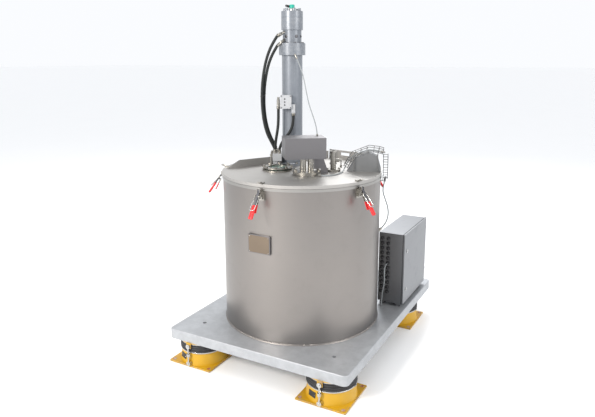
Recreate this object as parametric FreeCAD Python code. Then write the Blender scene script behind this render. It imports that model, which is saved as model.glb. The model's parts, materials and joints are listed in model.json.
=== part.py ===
import FreeCAD, Part
import math
import os

V = FreeCAD.Vector
UP = V(0, 0, 1)

# Vertical basket centrifuge on an isolated base plate, with a hydraulic scraper column on its hinged lid.
# Every size is in millimetres. The machine frame used below has its origin on the basket's axis at the top
# of the base plate, +X to the right along the plate's front edge, +Y to the back and +Z up. It is moved at
# the end so that the stored origin is on the floor under the middle of the whole machine's outline.

# ---- base plate and vibration isolators
PLATE_W = 1460.0
PLATE_L = 1892.0
PLATE_T = 73.0
PLATE_CORNER = 40.0
PLATE_EDGE = 4.0
PLATE_SHIFT = 190.0        # plate's middle lies this far behind the basket axis
LIFT_X, LIFT_FRONT, LIFT_BACK = 547.0, -556.0, 784.0
LIFT_HOLE_R = 15.0
LIFT_HOLE_DEPTH = 60.0
ISO_H = 189.0
ISO_X, ISO_FRONT, ISO_BACK = 541.0, -580.0, 772.0
ISO_FOOT = 370.0
ISO_FOOT_T = 12.0
ISO_POT_H = 88.0
ISO_POT_R = 166.0
ISO_POT_BASE_R = 178.0       # pot's radius where it stands on its foot
ISO_WALL = 6.0
ISO_RIM, ISO_RIM_H = 6.0, 10.0    # pot's rim, out from the pot, and its height
TAB_HALF, TAB_T = 20.0, 5.0       # tabs that hold the tie rods
ISO_TOP_T = 9.0
ISO_BOLT_SPACING = 320.0
ISO_BOLT_R = 9.0
SLEEVE_R = 176.0
SLEEVE_WAVES = 4
SPRING_R = 95.0
SPRING_WIRE = 22.0
SPRING_TURNS = 3
SPRING_STEPS = 8            # straight runs in one turn of the coil
TIE_ROD_R = 5.5
TIE_EYE_R = 17.0
TIE_OUT = 7.0              # tie rod's axis, out from the foot's edge
TIE_PIN_HALF = 9.0
TIE_EYE_T = 12.0

# ---- casing
CASE_R = 600.0
CASE_H = 1110.0
CASE_WALL = 6.0
FLOOR_T = 10.0
WELL_R = 330.0             # discharge well through the base plate
WEIR_R = 352.0             # inner weir keeps the filtrate out of the well
WEIR_H = 190.0
RING_IN, RING_OUT, RING_H = 575.0, 608.0, 20.0
SEAL_IN, SEAL_W, SEAL_H = 584.0, 8.0, 10.0
DRAIN_AZ, DRAIN_Z, DRAIN_BORE_R, DRAIN_WALL = 150.0, 75.0, 40.0, 4.0
DRAIN_REACH = 85.0
DRAIN_FLANGE_R, DRAIN_FLANGE_T, DRAIN_PCD, DRAIN_BOLT_R = 95.0, 16.0, 150.0, 9.5
PLATE_TAG_W, PLATE_TAG_H, PLATE_TAG_Z, PLATE_TAG_AZ = 178.0, 132.0, 726.0, -91.0

# ---- lid
LID_R = 608.0
LID_T = 12.0
LID_BAND = 11.0
SEAL_GAP = 0.3
LID_TOP = 1155.0
HINGE_AZ, HINGE_R, HINGE_Z = 126.0, 680.0, 1176.0
HINGE_PIN_R, HINGE_ARM_Y, HINGE_ARM_T = 15.0, 150.0, 20.0
LOCK_R = 11.0               # door lock's insert
NIPPLE_R = 8.5              # thin nipples between the hoses and the column's head
MANIFOLD_Z, MANIFOLD_H = 42.0, 58.0
RUN = 0.05                 # radial clearance of a running fit
LEFT_BAR = (V(-518, -269, 0), V(-58, 588, 0))
RIGHT_BAR = (V(-46, 588, 0), V(290, 520, 0))
BAR_T, LEFT_BAR_H, RIGHT_BAR_H, BAR_RAMP = 8.0, 60.0, 75.0, 117.0

# ---- lid clamps
CLAMP_AZ = (-89.0, -21.0, 54.0, 198.0)
CLAMP_R, CLAMP_Z = 632.0, 1112.0
CLAMP_OPEN = 35.0          # lever's angle out from hanging straight down
LEVER_LEN, LEVER_W, LEVER_T = 205.0, 18.0, 8.0
GRIP_LEN, GRIP_W, GRIP_T, GRIP_ROUND = 100.0, 32.0, 16.0, 6.0
LOOP_AT, LOOP_LEN, LOOP_HALF, LOOP_WIRE, LOOP_LIFT = 40.0, 110.0, 17.0, 3.0, 9.5
RELEASE_AT, RELEASE_SET, RELEASE_LEN, RELEASE_TILT = 60.0, 17.0, 92.0, 8.0
RELEASE_W, RELEASE_T = 24.0, 9.0

# ---- fittings on the lid
SIGHT_AT, SIGHT_R, SIGHT_OPEN, SIGHT_H = V(-154, -101, 0), 118.0, 78.0, 26.0
SIGHT_BOLTS = 8
FEED_AT, FEED_R, FEED_OPEN = V(126, -158, 0), 104.0, 60.0
FEED_PIPE_R, FEED_PIPE_GAP, FEED_BORE_R = 22.0, 56.0, 18.0
WASH_AT, WASH_R, WASH_PIPE_R, WASH_BORE_R, WASH_H = V(239, 53, 0), 57.0, 21.0, 17.0, 152.0
BOX_AT, BOX_TURN = V(100, -158, 0), 38.0
BOX_L, BOX_D, BOX_H, BOX_Z, BOX_WALL = 298.0, 185.0, 152.0, 123.0, 2.5
TRAY_AZ, TRAY_HALF, TRAY_SIDE, TRAY_WIRE = 20.0, 50.0, 33.0, 2.5
HOOD_PATH = ((345, 0), (410, 104), (510, 145), (572, 120), (600, 22), (600, 0))
HOOD_HALF, HOOD_SHEET = 36.0, 2.0
TRAY_LID_PATH = ((350, 26), (402, 113), (512, 157), (575, 150), (612, 140))
TRAY_DROP_PATH = ((618, 128), (619, -46))
DROP_RUNGS = (0.05, 0.27, 0.5, 0.73, 0.95)

# ---- scraper column
COLUMN_AT, COLUMN_TURN = V(-175, 167, 0), 28.0
TUBE_R, TUBE_BORE_R, TUBE_H = 80.0, 70.0, 858.0
BASE_FLANGE_R, BASE_FLANGE_T = 110.0, 18.0
COLLAR_R, COLLAR_H = 102.5, 90.0
NECK_R, NECK_H = 72.5, 99.0
HEAD_R, HEAD_H, HEAD_SPLIT = 83.5, 139.0, 92.0
SHAFT_R = 25.0
PISTON_T = 60.0
STROKE = 335.0
ARM_LEN, KNIFE_TOP, KNIFE_H, KNIFE_T = 250.0, 850.0, 150.0, 10.0
HOSE_D = 22.0
THIN_D = 8.0
GLAND_R = 8.0
SIDE_D = 10.0

# ---- basket and drive
BASKET_R, BASKET_WALL, BASKET_FLOOR_Z, BASKET_FLOOR_T = 450.0, 10.0, 330.0, 15.0
LIP_Z, LIP_T, LIP_R = 870.0, 12.0, 350.0
DRAIN_SLOTS, DRAIN_ROWS, SLOT_W, SLOT_H = 12, 3, 12.0, 60.0
SPOKE_W, HUB_R, SPOKE_OUT = 60.0, 100.0, 322.0
SPOKES_AZ = (90.0, 210.0, 330.0)
SPINDLE_R, BEARING_R, HOUSING_R, HOUSING_TOP = 40.0, 75.0, 100.0, 200.0
PULLEY_TOP, PULLEY_H, DRIVEN_R, DRIVER_R, BELT_T, BELT_GAP = -92.0, 54.0, 125.0, 95.0, 10.0, 0.3
MOTOR_Y, MOTOR_R, MOTOR_H, MOTOR_SHAFT_R = 790.0, 155.0, 470.0, 24.0

# ---- control cabinet
CAB_X, CAB_Y, CAB_Z = 490.0, 415.0, 30.0
CAB_D, CAB_L, CAB_H, CAB_WALL = 198.0, 598.0, 585.0, 2.5
DOOR_T, DOOR_GAP = 15.0, 2.0
KNUCKLE_R, KNUCKLE_PIN_R, KNUCKLE_H, KNUCKLE_OUT = 6.0, 3.0, 25.0, 8.0
KNUCKLE_ZS = (110.0, 490.0)
LOCK_INSET, LOCK_ZS = 70.0, (465.0, 137.0)
CAM_LEN, CAM_DEPTH = 58.0, 4.0
GLAND_XS, GLAND_Z0, GLAND_PITCH, GLAND_ROWS = (520.0, 570.0), 118.0, 41.0, 12


# ---------------------------------------------------------------- plain helpers
def cyl(r, h, at=V(0, 0, 0), axis=UP):
    return Part.makeCylinder(r, h, at, axis)


def tube(r_out, r_in, h, at=V(0, 0, 0), axis=UP):
    return cyl(r_out, h, at, axis).cut(cyl(r_in, h, at, axis))


def block(x0, x1, y0, y1, z0, z1):
    return Part.makeBox(x1 - x0, y1 - y0, z1 - z0, V(x0, y0, z0))


def prism(points, direction):
    """A solid made by moving a closed outline of points along direction."""
    wire = Part.makePolygon(points + [points[0]])
    return Part.Face(wire).extrude(direction)


def upright(outline, y0, y1):
    """A plate standing across Y whose outline is given as x, z pairs."""
    return prism([V(x, y0, z) for x, z in outline], V(0, y1 - y0, 0))


def moved(shape, offset):
    copy = shape.copy()
    copy.translate(offset)
    return copy


def turned(shape, degrees, about=V(0, 0, 0), axis=UP):
    copy = shape.copy()
    copy.rotate(about, axis, degrees)
    return copy


def fused(shapes):
    return shapes[0].multiFuse(shapes[1:]).removeSplitter() if len(shapes) > 1 else shapes[0]


def polar(r, degrees, z=0.0):
    return V(r * math.cos(math.radians(degrees)), r * math.sin(math.radians(degrees)), z)


def around(shape, azimuths):
    return [turned(shape, az) for az in azimuths]


def rod(start, end, r):
    """A round bar from one point to another."""
    return cyl(r, (end - start).Length, start, end - start)


def bent_rod(points, r):
    """A round bar through the points, with a ball at each bend."""
    bars = [rod(a, b, r) for a, b in zip(points, points[1:])]
    balls = [Part.makeSphere(r, p) for p in points[1:-1]]
    return fused(bars + balls)


def hexagon(across, h, at, axis=UP):
    """A hexagonal nut or bolt head standing on a point."""
    corner = across / math.sqrt(3)
    outline = [polar(corner, 60 * i) for i in range(6)]
    nut = prism(outline, V(0, 0, h))
    nut.Placement = FreeCAD.Placement(at, FreeCAD.Rotation(UP, axis))
    return nut


def bolt_circle(pcd, count, at, size, h, start=0.0):
    """Hexagonal heads on a circle, each a separate solid."""
    return [hexagon(size, h, at + polar(pcd / 2, start + 360.0 * i / count)) for i in range(count)]


def cord(points, diameter, label):
    """A round tube along straight runs joined by tangent arcs as large as the runs allow."""
    edges, here, radii = [], points[0], []
    for before, corner, after in zip(points, points[1:], points[2:]):
        run_in, run_out = corner - before, after - corner
        shorter = min(run_in.Length, run_out.Length)
        half = run_in.getAngle(run_out) / 2
        radius = 0.45 * shorter / math.tan(half)
        radii.append(radius)
        run_in.normalize()
        run_out.normalize()
        back = 0.45 * shorter
        start, end = corner - run_in * back, corner + run_out * back
        inward = (run_out - run_in).normalize()
        middle = corner + inward * (radius / math.cos(half) - radius)
        edges.append(Part.LineSegment(here, start).toShape())
        edges.append(Part.Arc(start, middle, end).toShape())
        here = end
    edges.append(Part.LineSegment(here, points[-1]).toShape())
    path = Part.Wire(edges)
    ring = Part.Wire(Part.makeCircle(diameter / 2, points[0], points[1] - points[0]))
    solid = path.makePipeShell([ring], True, False)
    share = solid.Volume / (math.pi * diameter ** 2 / 4 * path.Length)
    runs = [(b - a).Length for a, b in zip(points, points[1:])]
    print(f"{label}: length {path.Length:.0f}, smallest radius {min(radii):.0f}"
          f" ({min(radii) / diameter:.1f} d), runs {min(runs):.0f}-{max(runs):.0f}, volume ratio {share:.4f}")
    return solid


os.makedirs("parts", exist_ok=True)
FRONT_Y = ISO_FRONT - ISO_FOOT / 2 - TIE_OUT - TIE_PIN_HALF
BACK_Y = PLATE_SHIFT + PLATE_L / 2
TO_FLOOR = V(0, -(FRONT_Y + BACK_Y) / 2, ISO_H + PLATE_T)


def save(node, solids):
    """Writes one node's solids, moved from the machine frame to the floor frame."""
    flat = []
    for shape in solids:
        flat += shape.Solids
    placed = [moved(s, TO_FLOOR) for s in flat]
    shape = placed[0] if len(placed) == 1 else Part.makeCompound(placed)
    shape.exportStep(f"parts/{node}.step")


# ---------------------------------------------------------------- base plate and isolators
ISO_CENTRES = [V(x, y, 0) for y in (ISO_FRONT, ISO_BACK) for x in (-ISO_X, ISO_X)]
FLOOR_Z = -PLATE_T - ISO_H
ISO_TOP = -PLATE_T
PLATE_Y0 = PLATE_SHIFT - PLATE_L / 2
PLATE_Y1 = PLATE_SHIFT + PLATE_L / 2


def base_plate():
    plate = block(-PLATE_W / 2, PLATE_W / 2, PLATE_Y0, PLATE_Y1, -PLATE_T, 0)
    upright_edges = [e for e in plate.Edges if abs(e.Vertexes[0].Z - e.Vertexes[1].Z) > 1]
    plate = plate.makeFillet(PLATE_CORNER, upright_edges)
    plate = plate.makeChamfer(PLATE_EDGE, top_edges(plate, 0))
    cuts = [cyl(WELL_R, PLATE_T, V(0, 0, -PLATE_T))]
    cuts.append(cyl(MOTOR_SHAFT_R + 16, PLATE_T, V(0, MOTOR_Y, -PLATE_T)))
    for x in (-LIFT_X, LIFT_X):
        for y in (LIFT_FRONT, LIFT_BACK):
            cuts.append(cyl(LIFT_HOLE_R, LIFT_HOLE_DEPTH, V(x, y, -LIFT_HOLE_DEPTH)))
    return plate.cut(fused(cuts))


def top_edges(shape, z):
    return [e for e in shape.Edges if all(abs(v.Z - z) < 1e-6 for v in e.Vertexes)]


def isolator_plates():
    """The tapered pot on its square foot, and the plate under the base plate."""
    foot = block(-ISO_FOOT / 2, ISO_FOOT / 2, -ISO_FOOT / 2, ISO_FOOT / 2, 0, ISO_FOOT_T)
    pot = Part.makeCone(ISO_POT_BASE_R, ISO_POT_R, ISO_POT_H, V(0, 0, ISO_FOOT_T))
    hollow = Part.makeCone(ISO_POT_BASE_R - ISO_WALL, ISO_POT_R - ISO_WALL, ISO_POT_H, V(0, 0, ISO_FOOT_T))
    rim = tube(ISO_POT_R + ISO_RIM, ISO_POT_R - ISO_WALL, ISO_RIM_H, V(0, 0, ISO_FOOT_T + ISO_POT_H))
    half = ISO_BOLT_SPACING / 2
    holes = [cyl(ISO_BOLT_R, ISO_FOOT_T, V(x, y, 0)) for x in (-half, half) for y in (-half, half)]
    pot = fused([foot, pot.cut(hollow), rim]).cut(fused(holes))
    top = cyl(ISO_POT_R + 2 * ISO_RIM, ISO_TOP_T, V(0, 0, ISO_H - ISO_TOP_T))
    seat = -ISO_FOOT / 2 - TIE_OUT + TIE_EYE_T / 2
    lug = block(-TAB_HALF, TAB_HALF, seat, -ISO_POT_R + 10, ISO_H - ISO_TOP_T, ISO_H)
    tab = block(-TAB_HALF, TAB_HALF, seat, seat + TAB_T, ISO_H - ISO_TOP_T - 2 * TIE_EYE_R, ISO_H)
    low_tab = block(-TAB_HALF, TAB_HALF, seat, seat + TAB_T, 0, ISO_FOOT_T + 2 * TIE_EYE_R)
    return [fused([pot, low_tab]), fused([top, lug, tab])]


def isolator_sleeve():
    """A rubber bellows between the pot's rim and the top plate."""
    low = ISO_FOOT_T + ISO_POT_H + ISO_RIM_H
    wave = (ISO_H - ISO_TOP_T - low) / SLEEVE_WAVES
    outline = [V(SLEEVE_R - 16, 0, low)]
    for i in range(SLEEVE_WAVES):
        outline.append(V(SLEEVE_R - 5, 0, low + wave * i))
        outline.append(V(SLEEVE_R, 0, low + wave * (i + 0.5)))
    outline.append(V(SLEEVE_R - 5, 0, ISO_H - ISO_TOP_T))
    outline.append(V(SLEEVE_R - 16, 0, ISO_H - ISO_TOP_T))
    face = Part.Face(Part.makePolygon(outline + [outline[0]]))
    return face.revolve(V(0, 0, 0), UP, 360)


def isolator_spring():
    """A coil spring between the foot and the top plate, with a guide cup at each end."""
    cup = 10.0
    low = ISO_FOOT_T + cup
    high = ISO_H - ISO_TOP_T - cup
    rise = (high - low - SPRING_WIRE) / (SPRING_TURNS * SPRING_STEPS)
    turn = 360.0 / SPRING_STEPS
    route = [polar(SPRING_R, turn * i, low + SPRING_WIRE / 2 + rise * i)
             for i in range(SPRING_TURNS * SPRING_STEPS + 1)]
    coil = cord(route, SPRING_WIRE, "isolator spring")
    cups = [cyl(SPRING_R + SPRING_WIRE, cup, V(0, 0, z)) for z in (ISO_FOOT_T, high)]
    return [coil] + cups


def isolator_tie():
    """A levelling rod with an eye at each end, on the outer face of an isolator."""
    y = -ISO_FOOT / 2 - TIE_OUT
    low, high = ISO_FOOT_T + TIE_EYE_R, ISO_H - ISO_TOP_T - TIE_EYE_R
    eyes = [tube(TIE_EYE_R, 7, TIE_EYE_T, V(0, y - TIE_EYE_T / 2, z), V(0, 1, 0)) for z in (low, high)]
    bar = rod(V(0, y, low + TIE_EYE_R - 3), V(0, y, high - TIE_EYE_R + 3), TIE_ROD_R)
    nut = hexagon(24, 22, V(0, y, (low + high) / 2 - 11))
    half = TIE_EYE_T / 2
    pins = [rod(V(0, y - TIE_PIN_HALF, z), V(0, y + half, z), 7 - RUN) for z in (low, high)]
    return [fused(eyes + [bar, nut])] + pins


def save_isolators():
    ends = {"iso_plates": isolator_plates(), "iso_sleeves": [isolator_sleeve()],
            "iso_springs": isolator_spring(), "iso_tie_rods": isolator_tie()}
    for node, shapes in ends.items():
        save(node, [moved(s, c + V(0, 0, FLOOR_Z)) for c in ISO_CENTRES for s in shapes])


# ---------------------------------------------------------------- spider, basket and drive
def spokes(z0, z1, reach, half):
    return around(block(HUB_R - 20, reach, -half, half, z0, z1), SPOKES_AZ)


def bearing_spider():
    """The hub under the basket, carried on three arms in the discharge well, and its two bearings."""
    hub = cyl(HOUSING_R, HOUSING_TOP + PLATE_T, V(0, 0, -PLATE_T))
    arms = spokes(-PLATE_T, 0, SPOKE_OUT, SPOKE_W / 2)
    ring = tube(WELL_R - 0.5, SPOKE_OUT - 6, PLATE_T, V(0, 0, -PLATE_T))
    flange = tube(WEIR_R - 7, SPOKE_OUT - 6, FLOOR_T)
    body = fused([hub, ring, flange] + arms)
    body = body.cut(cyl(BEARING_R, HOUSING_TOP + PLATE_T, V(0, 0, -PLATE_T)))
    cap = tube(HOUSING_R, SPINDLE_R + 1, 12, V(0, 0, HOUSING_TOP))
    bearings = [tube(BEARING_R, SPINDLE_R + RUN, 40, V(0, 0, z)) for z in (-PLATE_T + 5, HOUSING_TOP - 45)]
    spacer = tube(BEARING_R, BEARING_R - 8, HOUSING_TOP + PLATE_T - 90, V(0, 0, -PLATE_T + 45))
    return [body, cap, spacer] + bearings


def basket():
    """The perforated bowl with its spoked floor, hub and lip."""
    floor = cyl(BASKET_R, BASKET_FLOOR_T, V(0, 0, BASKET_FLOOR_Z))
    well = tube(SPOKE_OUT - 2, HUB_R + 10, BASKET_FLOOR_T, V(0, 0, BASKET_FLOOR_Z))
    bars = fused(spokes(BASKET_FLOOR_Z, BASKET_FLOOR_Z + BASKET_FLOOR_T, SPOKE_OUT + 10, SPOKE_W / 2))
    floor = floor.cut(well.cut(bars))
    wall_h = LIP_Z - BASKET_FLOOR_Z
    wall = tube(BASKET_R, BASKET_R - BASKET_WALL, wall_h, V(0, 0, BASKET_FLOOR_Z))
    lip = tube(BASKET_R, LIP_R, LIP_T, V(0, 0, LIP_Z))
    hub = tube(HUB_R - 15, SPINDLE_R, 95, V(0, 0, BASKET_FLOOR_Z - 95))
    hoops = [tube(BASKET_R + 10, BASKET_R - 2, 30, V(0, 0, z)) for z in (BASKET_FLOOR_Z, LIP_Z - 18)]
    bowl = fused([floor, wall, lip, hub] + hoops)
    bowl = bowl.cut(cyl(SPINDLE_R, BASKET_FLOOR_T, V(0, 0, BASKET_FLOOR_Z)))
    slots = []
    for row in range(DRAIN_ROWS):
        z = BASKET_FLOOR_Z + wall_h * (row + 1) / (DRAIN_ROWS + 1)
        slot = block(BASKET_R - 2 * BASKET_WALL, BASKET_R + BASKET_WALL, -SLOT_W / 2, SLOT_W / 2,
                     z - SLOT_H / 2, z + SLOT_H / 2)
        turn = 360.0 / DRAIN_SLOTS
        slots += [turned(slot, turn * (i + 0.5 * (row % 2))) for i in range(DRAIN_SLOTS)]
    return bowl.cut(Part.makeCompound(slots))


def spindle():
    """The basket's shaft with its cap on top and its belt pulley below the base plate."""
    top = BASKET_FLOOR_Z + BASKET_FLOOR_T
    low = PULLEY_TOP - PULLEY_H - 8
    shaft = cyl(SPINDLE_R, top - low, V(0, 0, low))
    cap = cyl(HUB_R - 40, 10, V(0, 0, top))
    pulley = belt_pulley(DRIVEN_R, SPINDLE_R, V(0, 0, 0))
    return [fused([shaft, cap]), pulley]


def belt_pulley(r, bore, at):
    """A flat pulley with a flange on each side of the belt."""
    rim = cyl(r, PULLEY_H, at + V(0, 0, PULLEY_TOP - PULLEY_H))
    flanges = [cyl(r + 8, 4, at + V(0, 0, z)) for z in (PULLEY_TOP, PULLEY_TOP - PULLEY_H - 4)]
    return fused([rim] + flanges).cut(cyl(bore, PULLEY_H + 40, at + V(0, 0, PULLEY_TOP - PULLEY_H - 20)))


def stadium(r_here, r_there, h, z):
    """The outline of a belt round both pulleys, as a solid of a given height."""
    lean = math.asin((r_here - r_there) / MOTOR_Y)
    far = V(0, MOTOR_Y, 0)
    sides = []
    for centre, r in ((V(0, 0, 0), r_here), (far, r_there)):
        for side in (1, -1):
            sides.append(centre + V(side * r * math.cos(lean), r * math.sin(lean), 0))
    right, left, far_right, far_left = sides
    web = prism([p + V(0, 0, z) for p in (right, far_right, far_left, left)], V(0, 0, h))
    return fused([web, cyl(r_here, h, V(0, 0, z)), cyl(r_there, h, V(0, MOTOR_Y, z))])


def drive_belt():
    z = PULLEY_TOP - PULLEY_H + 3
    grow = BELT_GAP + BELT_T
    outer = stadium(DRIVEN_R + grow, DRIVER_R + grow, PULLEY_H - 6, z)
    return outer.cut(stadium(DRIVEN_R + BELT_GAP, DRIVER_R + BELT_GAP, PULLEY_H - 6, z))


def belt_guard():
    """A sheet pan hung under the base plate round the belt and both pulleys."""
    low = PULLEY_TOP - PULLEY_H - 14
    room, sheet = 20.0, 3.0
    outer = stadium(DRIVEN_R + room + sheet, DRIVER_R + room + sheet, -PLATE_T - low, low)
    inner = stadium(DRIVEN_R + room, DRIVER_R + room, -PLATE_T - low - sheet, low + sheet)
    return outer.cut(inner)


def motor():
    """The drive motor standing on the base plate behind the casing, with fins, cover and terminal box."""
    at = V(0, MOTOR_Y, 0)
    foot = cyl(MOTOR_R + 25, 18, at)
    body = cyl(MOTOR_R - 14, MOTOR_H - 110, at + V(0, 0, 18))
    fins = [turned(block(-MOTOR_R, MOTOR_R, -3, 3, 40, MOTOR_H - 110), 15.0 * i) for i in range(12)]
    frame = fused([foot, body] + [moved(f, at) for f in fins])
    bore = cyl(MOTOR_SHAFT_R + RUN, MOTOR_H, at)
    frame = frame.cut(bore)
    cover = tube(MOTOR_R, MOTOR_R - 3, 100, at + V(0, 0, MOTOR_H - 90))
    roof = tube(MOTOR_R, 60, 3, at + V(0, 0, MOTOR_H + 10))
    seat = tube(MOTOR_R - 3, MOTOR_R - 14, 4, at + V(0, 0, MOTOR_H - 92))
    box = block(MOTOR_R - 8, MOTOR_R + 60, -60, 60, 220, 360)
    return [frame, fused([cover, roof, seat]), moved(box, at).cut(frame)]


def motor_shaft():
    """The motor's rotor shaft with its pulley and cooling fan."""
    at = V(0, MOTOR_Y, 0)
    low = PULLEY_TOP - PULLEY_H - 8
    shaft = cyl(MOTOR_SHAFT_R, MOTOR_H - 20 - low, at + V(0, 0, low))
    disc = tube(70, MOTOR_SHAFT_R, 8, at + V(0, 0, MOTOR_H - 70))
    blades = [turned(block(MOTOR_SHAFT_R - 4, 120, -2, 2, MOTOR_H - 70, MOTOR_H - 35), 45.0 * i)
              for i in range(8)]
    fan = fused([disc] + [moved(b, at) for b in blades]).cut(shaft)
    return [shaft, fan, belt_pulley(DRIVER_R, MOTOR_SHAFT_R, at)]


# ---------------------------------------------------------------- casing
def casing_shell():
    """The round wall with its weld bead and the flanged filtrate drain."""
    wall = cyl(CASE_R, CASE_H)
    bead = Part.makeCone(CASE_R + 7, CASE_R, 8)
    pipe_r = DRAIN_BORE_R + DRAIN_WALL
    flange_at = CASE_R + DRAIN_REACH - DRAIN_FLANGE_T
    out = polar(1, DRAIN_AZ)
    pipe = cyl(pipe_r, DRAIN_REACH + 20, polar(CASE_R - 20, DRAIN_AZ, DRAIN_Z), out)
    flange = cyl(DRAIN_FLANGE_R - 22, DRAIN_FLANGE_T, polar(flange_at, DRAIN_AZ, DRAIN_Z), out)
    ears = block(flange_at, flange_at + DRAIN_FLANGE_T, -DRAIN_FLANGE_R + 22, DRAIN_FLANGE_R - 22,
                 -DRAIN_FLANGE_R + 22, DRAIN_FLANGE_R - 22)
    ears = turned(moved(ears, V(0, 0, DRAIN_Z)), DRAIN_AZ)
    shell = fused([wall, bead, pipe, flange, ears]).cut(cyl(CASE_R - CASE_WALL, CASE_H))
    cuts = [cyl(DRAIN_BORE_R, DRAIN_REACH + 60, polar(CASE_R - 50, DRAIN_AZ, DRAIN_Z), out)]
    for i in range(4):
        spot = V(0, DRAIN_PCD / 2 * math.cos(math.radians(45 + 90 * i)),
                 DRAIN_Z + DRAIN_PCD / 2 * math.sin(math.radians(45 + 90 * i)))
        hole = cyl(DRAIN_BOLT_R, DRAIN_FLANGE_T + 2, spot + V(flange_at - 1, 0, 0), V(1, 0, 0))
        cuts.append(turned(hole, DRAIN_AZ))
    return shell.cut(fused(cuts))


def casing_floor():
    floor = tube(CASE_R - CASE_WALL, WEIR_R, FLOOR_T)
    weir = tube(WEIR_R + 6, WEIR_R, WEIR_H)
    return fused([floor, weir])


def casing_ring():
    ring = tube(RING_OUT, RING_IN, RING_H, V(0, 0, CASE_H))
    groove = tube(SEAL_IN + SEAL_W, SEAL_IN, SEAL_H, V(0, 0, SEAL_BOTTOM))
    return ring.cut(groove)


LID_BOTTOM = LID_TOP - LID_T - LID_BAND
SEAL_BOTTOM = LID_BOTTOM - SEAL_GAP - SEAL_H


def lid_seal():
    return tube(SEAL_IN + SEAL_W, SEAL_IN, SEAL_H, V(0, 0, SEAL_BOTTOM))


def nameplate():
    """A blank plate on a raised holder, with a rivet at each corner."""
    holder_x = CASE_R + 12
    half_w, half_h = PLATE_TAG_W / 2, PLATE_TAG_H / 2
    holder = block(CASE_R - 12, holder_x, -half_w, half_w, -half_h, half_h)
    holder = holder.cut(block(CASE_R - 12, holder_x - 3, -half_w + 3, half_w - 3, -half_h + 3, half_h - 3))
    holder = moved(holder, V(0, 0, PLATE_TAG_Z)).cut(cyl(CASE_R, CASE_H))
    tag = block(holder_x, holder_x + 1.5, -half_w + 5, half_w - 5, -half_h + 5, half_h - 5)
    pieces = [holder, moved(tag, V(0, 0, PLATE_TAG_Z))]
    for y in (-half_w + 12, half_w - 12):
        for z in (-half_h + 12, half_h - 12):
            pieces.append(cyl(4, 3, V(holder_x + 1.5, y, PLATE_TAG_Z + z), V(1, 0, 0)))
    return [turned(p, PLATE_TAG_AZ) for p in pieces]


def clamp_bracket():
    """Two ears on a pad below the rim, with the lever's pivot pin."""
    inner = LEVER_W / 2 + 1
    pad = block(CASE_R - 3, CASE_R + 6, -28, 28, CLAMP_Z - 72, CLAMP_Z - 6).cut(cyl(CASE_R, CASE_H))
    outline = [(CASE_R + 6, CLAMP_Z - 60), (CASE_R + 6, CLAMP_Z - 8), (CLAMP_R - 14, CLAMP_Z - 4),
               (CLAMP_R - 10, CLAMP_Z + 10), (CLAMP_R + 10, CLAMP_Z + 10), (CLAMP_R + 12, CLAMP_Z - 10),
               (CASE_R + 16, CLAMP_Z - 60)]
    pin_r = 4.0
    hole = cyl(pin_r, 80, V(CLAMP_R, -40, CLAMP_Z), V(0, 1, 0))
    ears = [upright(outline, y, y + 4).cut(hole) for y in (-inner - 4, inner)]
    pin = rod(V(CLAMP_R, -inner - 6, CLAMP_Z), V(CLAMP_R, inner + 6, CLAMP_Z), pin_r)
    return [pad] + ears + [pin]


def hinge_bracket():
    """Two ears on the casing wall that hold the lid's hinge pin."""
    near = HINGE_ARM_Y + HINGE_ARM_T / 2 + 1
    outline = [(CASE_R - 40, 960), (CASE_R + 12, 960),
               (HINGE_R + 25, HINGE_Z - 55), (HINGE_R + 25, HINGE_Z + 24),
               (HINGE_R - 25, HINGE_Z + 24), (HINGE_R - 25, HINGE_Z - 56), (CASE_R + 22, CASE_H - 15),
               (CASE_R - 40, CASE_H - 15)]
    hole = cyl(HINGE_PIN_R, 2 * near + 60, V(HINGE_R, -near - 30, HINGE_Z), V(0, 1, 0))
    ears = []
    for y in (-near - 16, near):
        ears.append(upright(outline, y, y + 16).cut(cyl(CASE_R, CASE_H)).cut(hole))
    pin = rod(V(HINGE_R, -near - 22, HINGE_Z), V(HINGE_R, near + 22, HINGE_Z), HINGE_PIN_R)
    return ears + [pin]


def casing_brackets():
    shapes = []
    for az in CLAMP_AZ:
        shapes += [turned(s, az) for s in clamp_bracket()]
    return shapes + [turned(s, HINGE_AZ) for s in hinge_bracket()]


# ---------------------------------------------------------------- lid
def lid_bar(ends, h, ramp):
    """A stiffening plate standing on the lid, sloped down at its start."""
    start, end = ends
    length = (end - start).Length
    outline = [(0, 0), (length, 0), (length, h), (ramp, h)]
    bar = upright(outline, -BAR_T / 2, BAR_T / 2)
    angle = math.degrees(math.atan2(end.y - start.y, end.x - start.x))
    return moved(turned(bar, angle), start + V(0, 0, LID_TOP))


def lid_plate():
    plate = cyl(LID_R, LID_T + LID_BAND, V(0, 0, LID_BOTTOM))
    plate = plate.cut(cyl(SEAL_IN - 4, LID_BAND, V(0, 0, LID_BOTTOM)))
    bars = [lid_bar(LEFT_BAR, LEFT_BAR_H, BAR_RAMP), lid_bar(RIGHT_BAR, RIGHT_BAR_H, 4.0)]
    plate = fused([plate] + bars)
    openings = ((SIGHT_AT, SIGHT_OPEN), (FEED_AT, FEED_OPEN),
                (WASH_AT, WASH_PIPE_R), (COLUMN_AT, SHAFT_R + 6))
    cuts = [cyl(r, LID_T, at + V(0, 0, LID_TOP - LID_T)) for at, r in openings]
    along = (RIGHT_BAR[1] - RIGHT_BAR[0]).normalize()
    across = V(-along.y, along.x, 0)
    slot_at = RIGHT_BAR[0] + along * 120 + V(0, 0, LID_TOP + 34)
    slot = [slot_at - across * 20, slot_at + along * 90 - across * 20]
    slot += [p + V(0, 0, 24) for p in reversed(slot)]
    cuts.append(prism(slot, across * 40))
    return plate.cut(fused(cuts))


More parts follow.
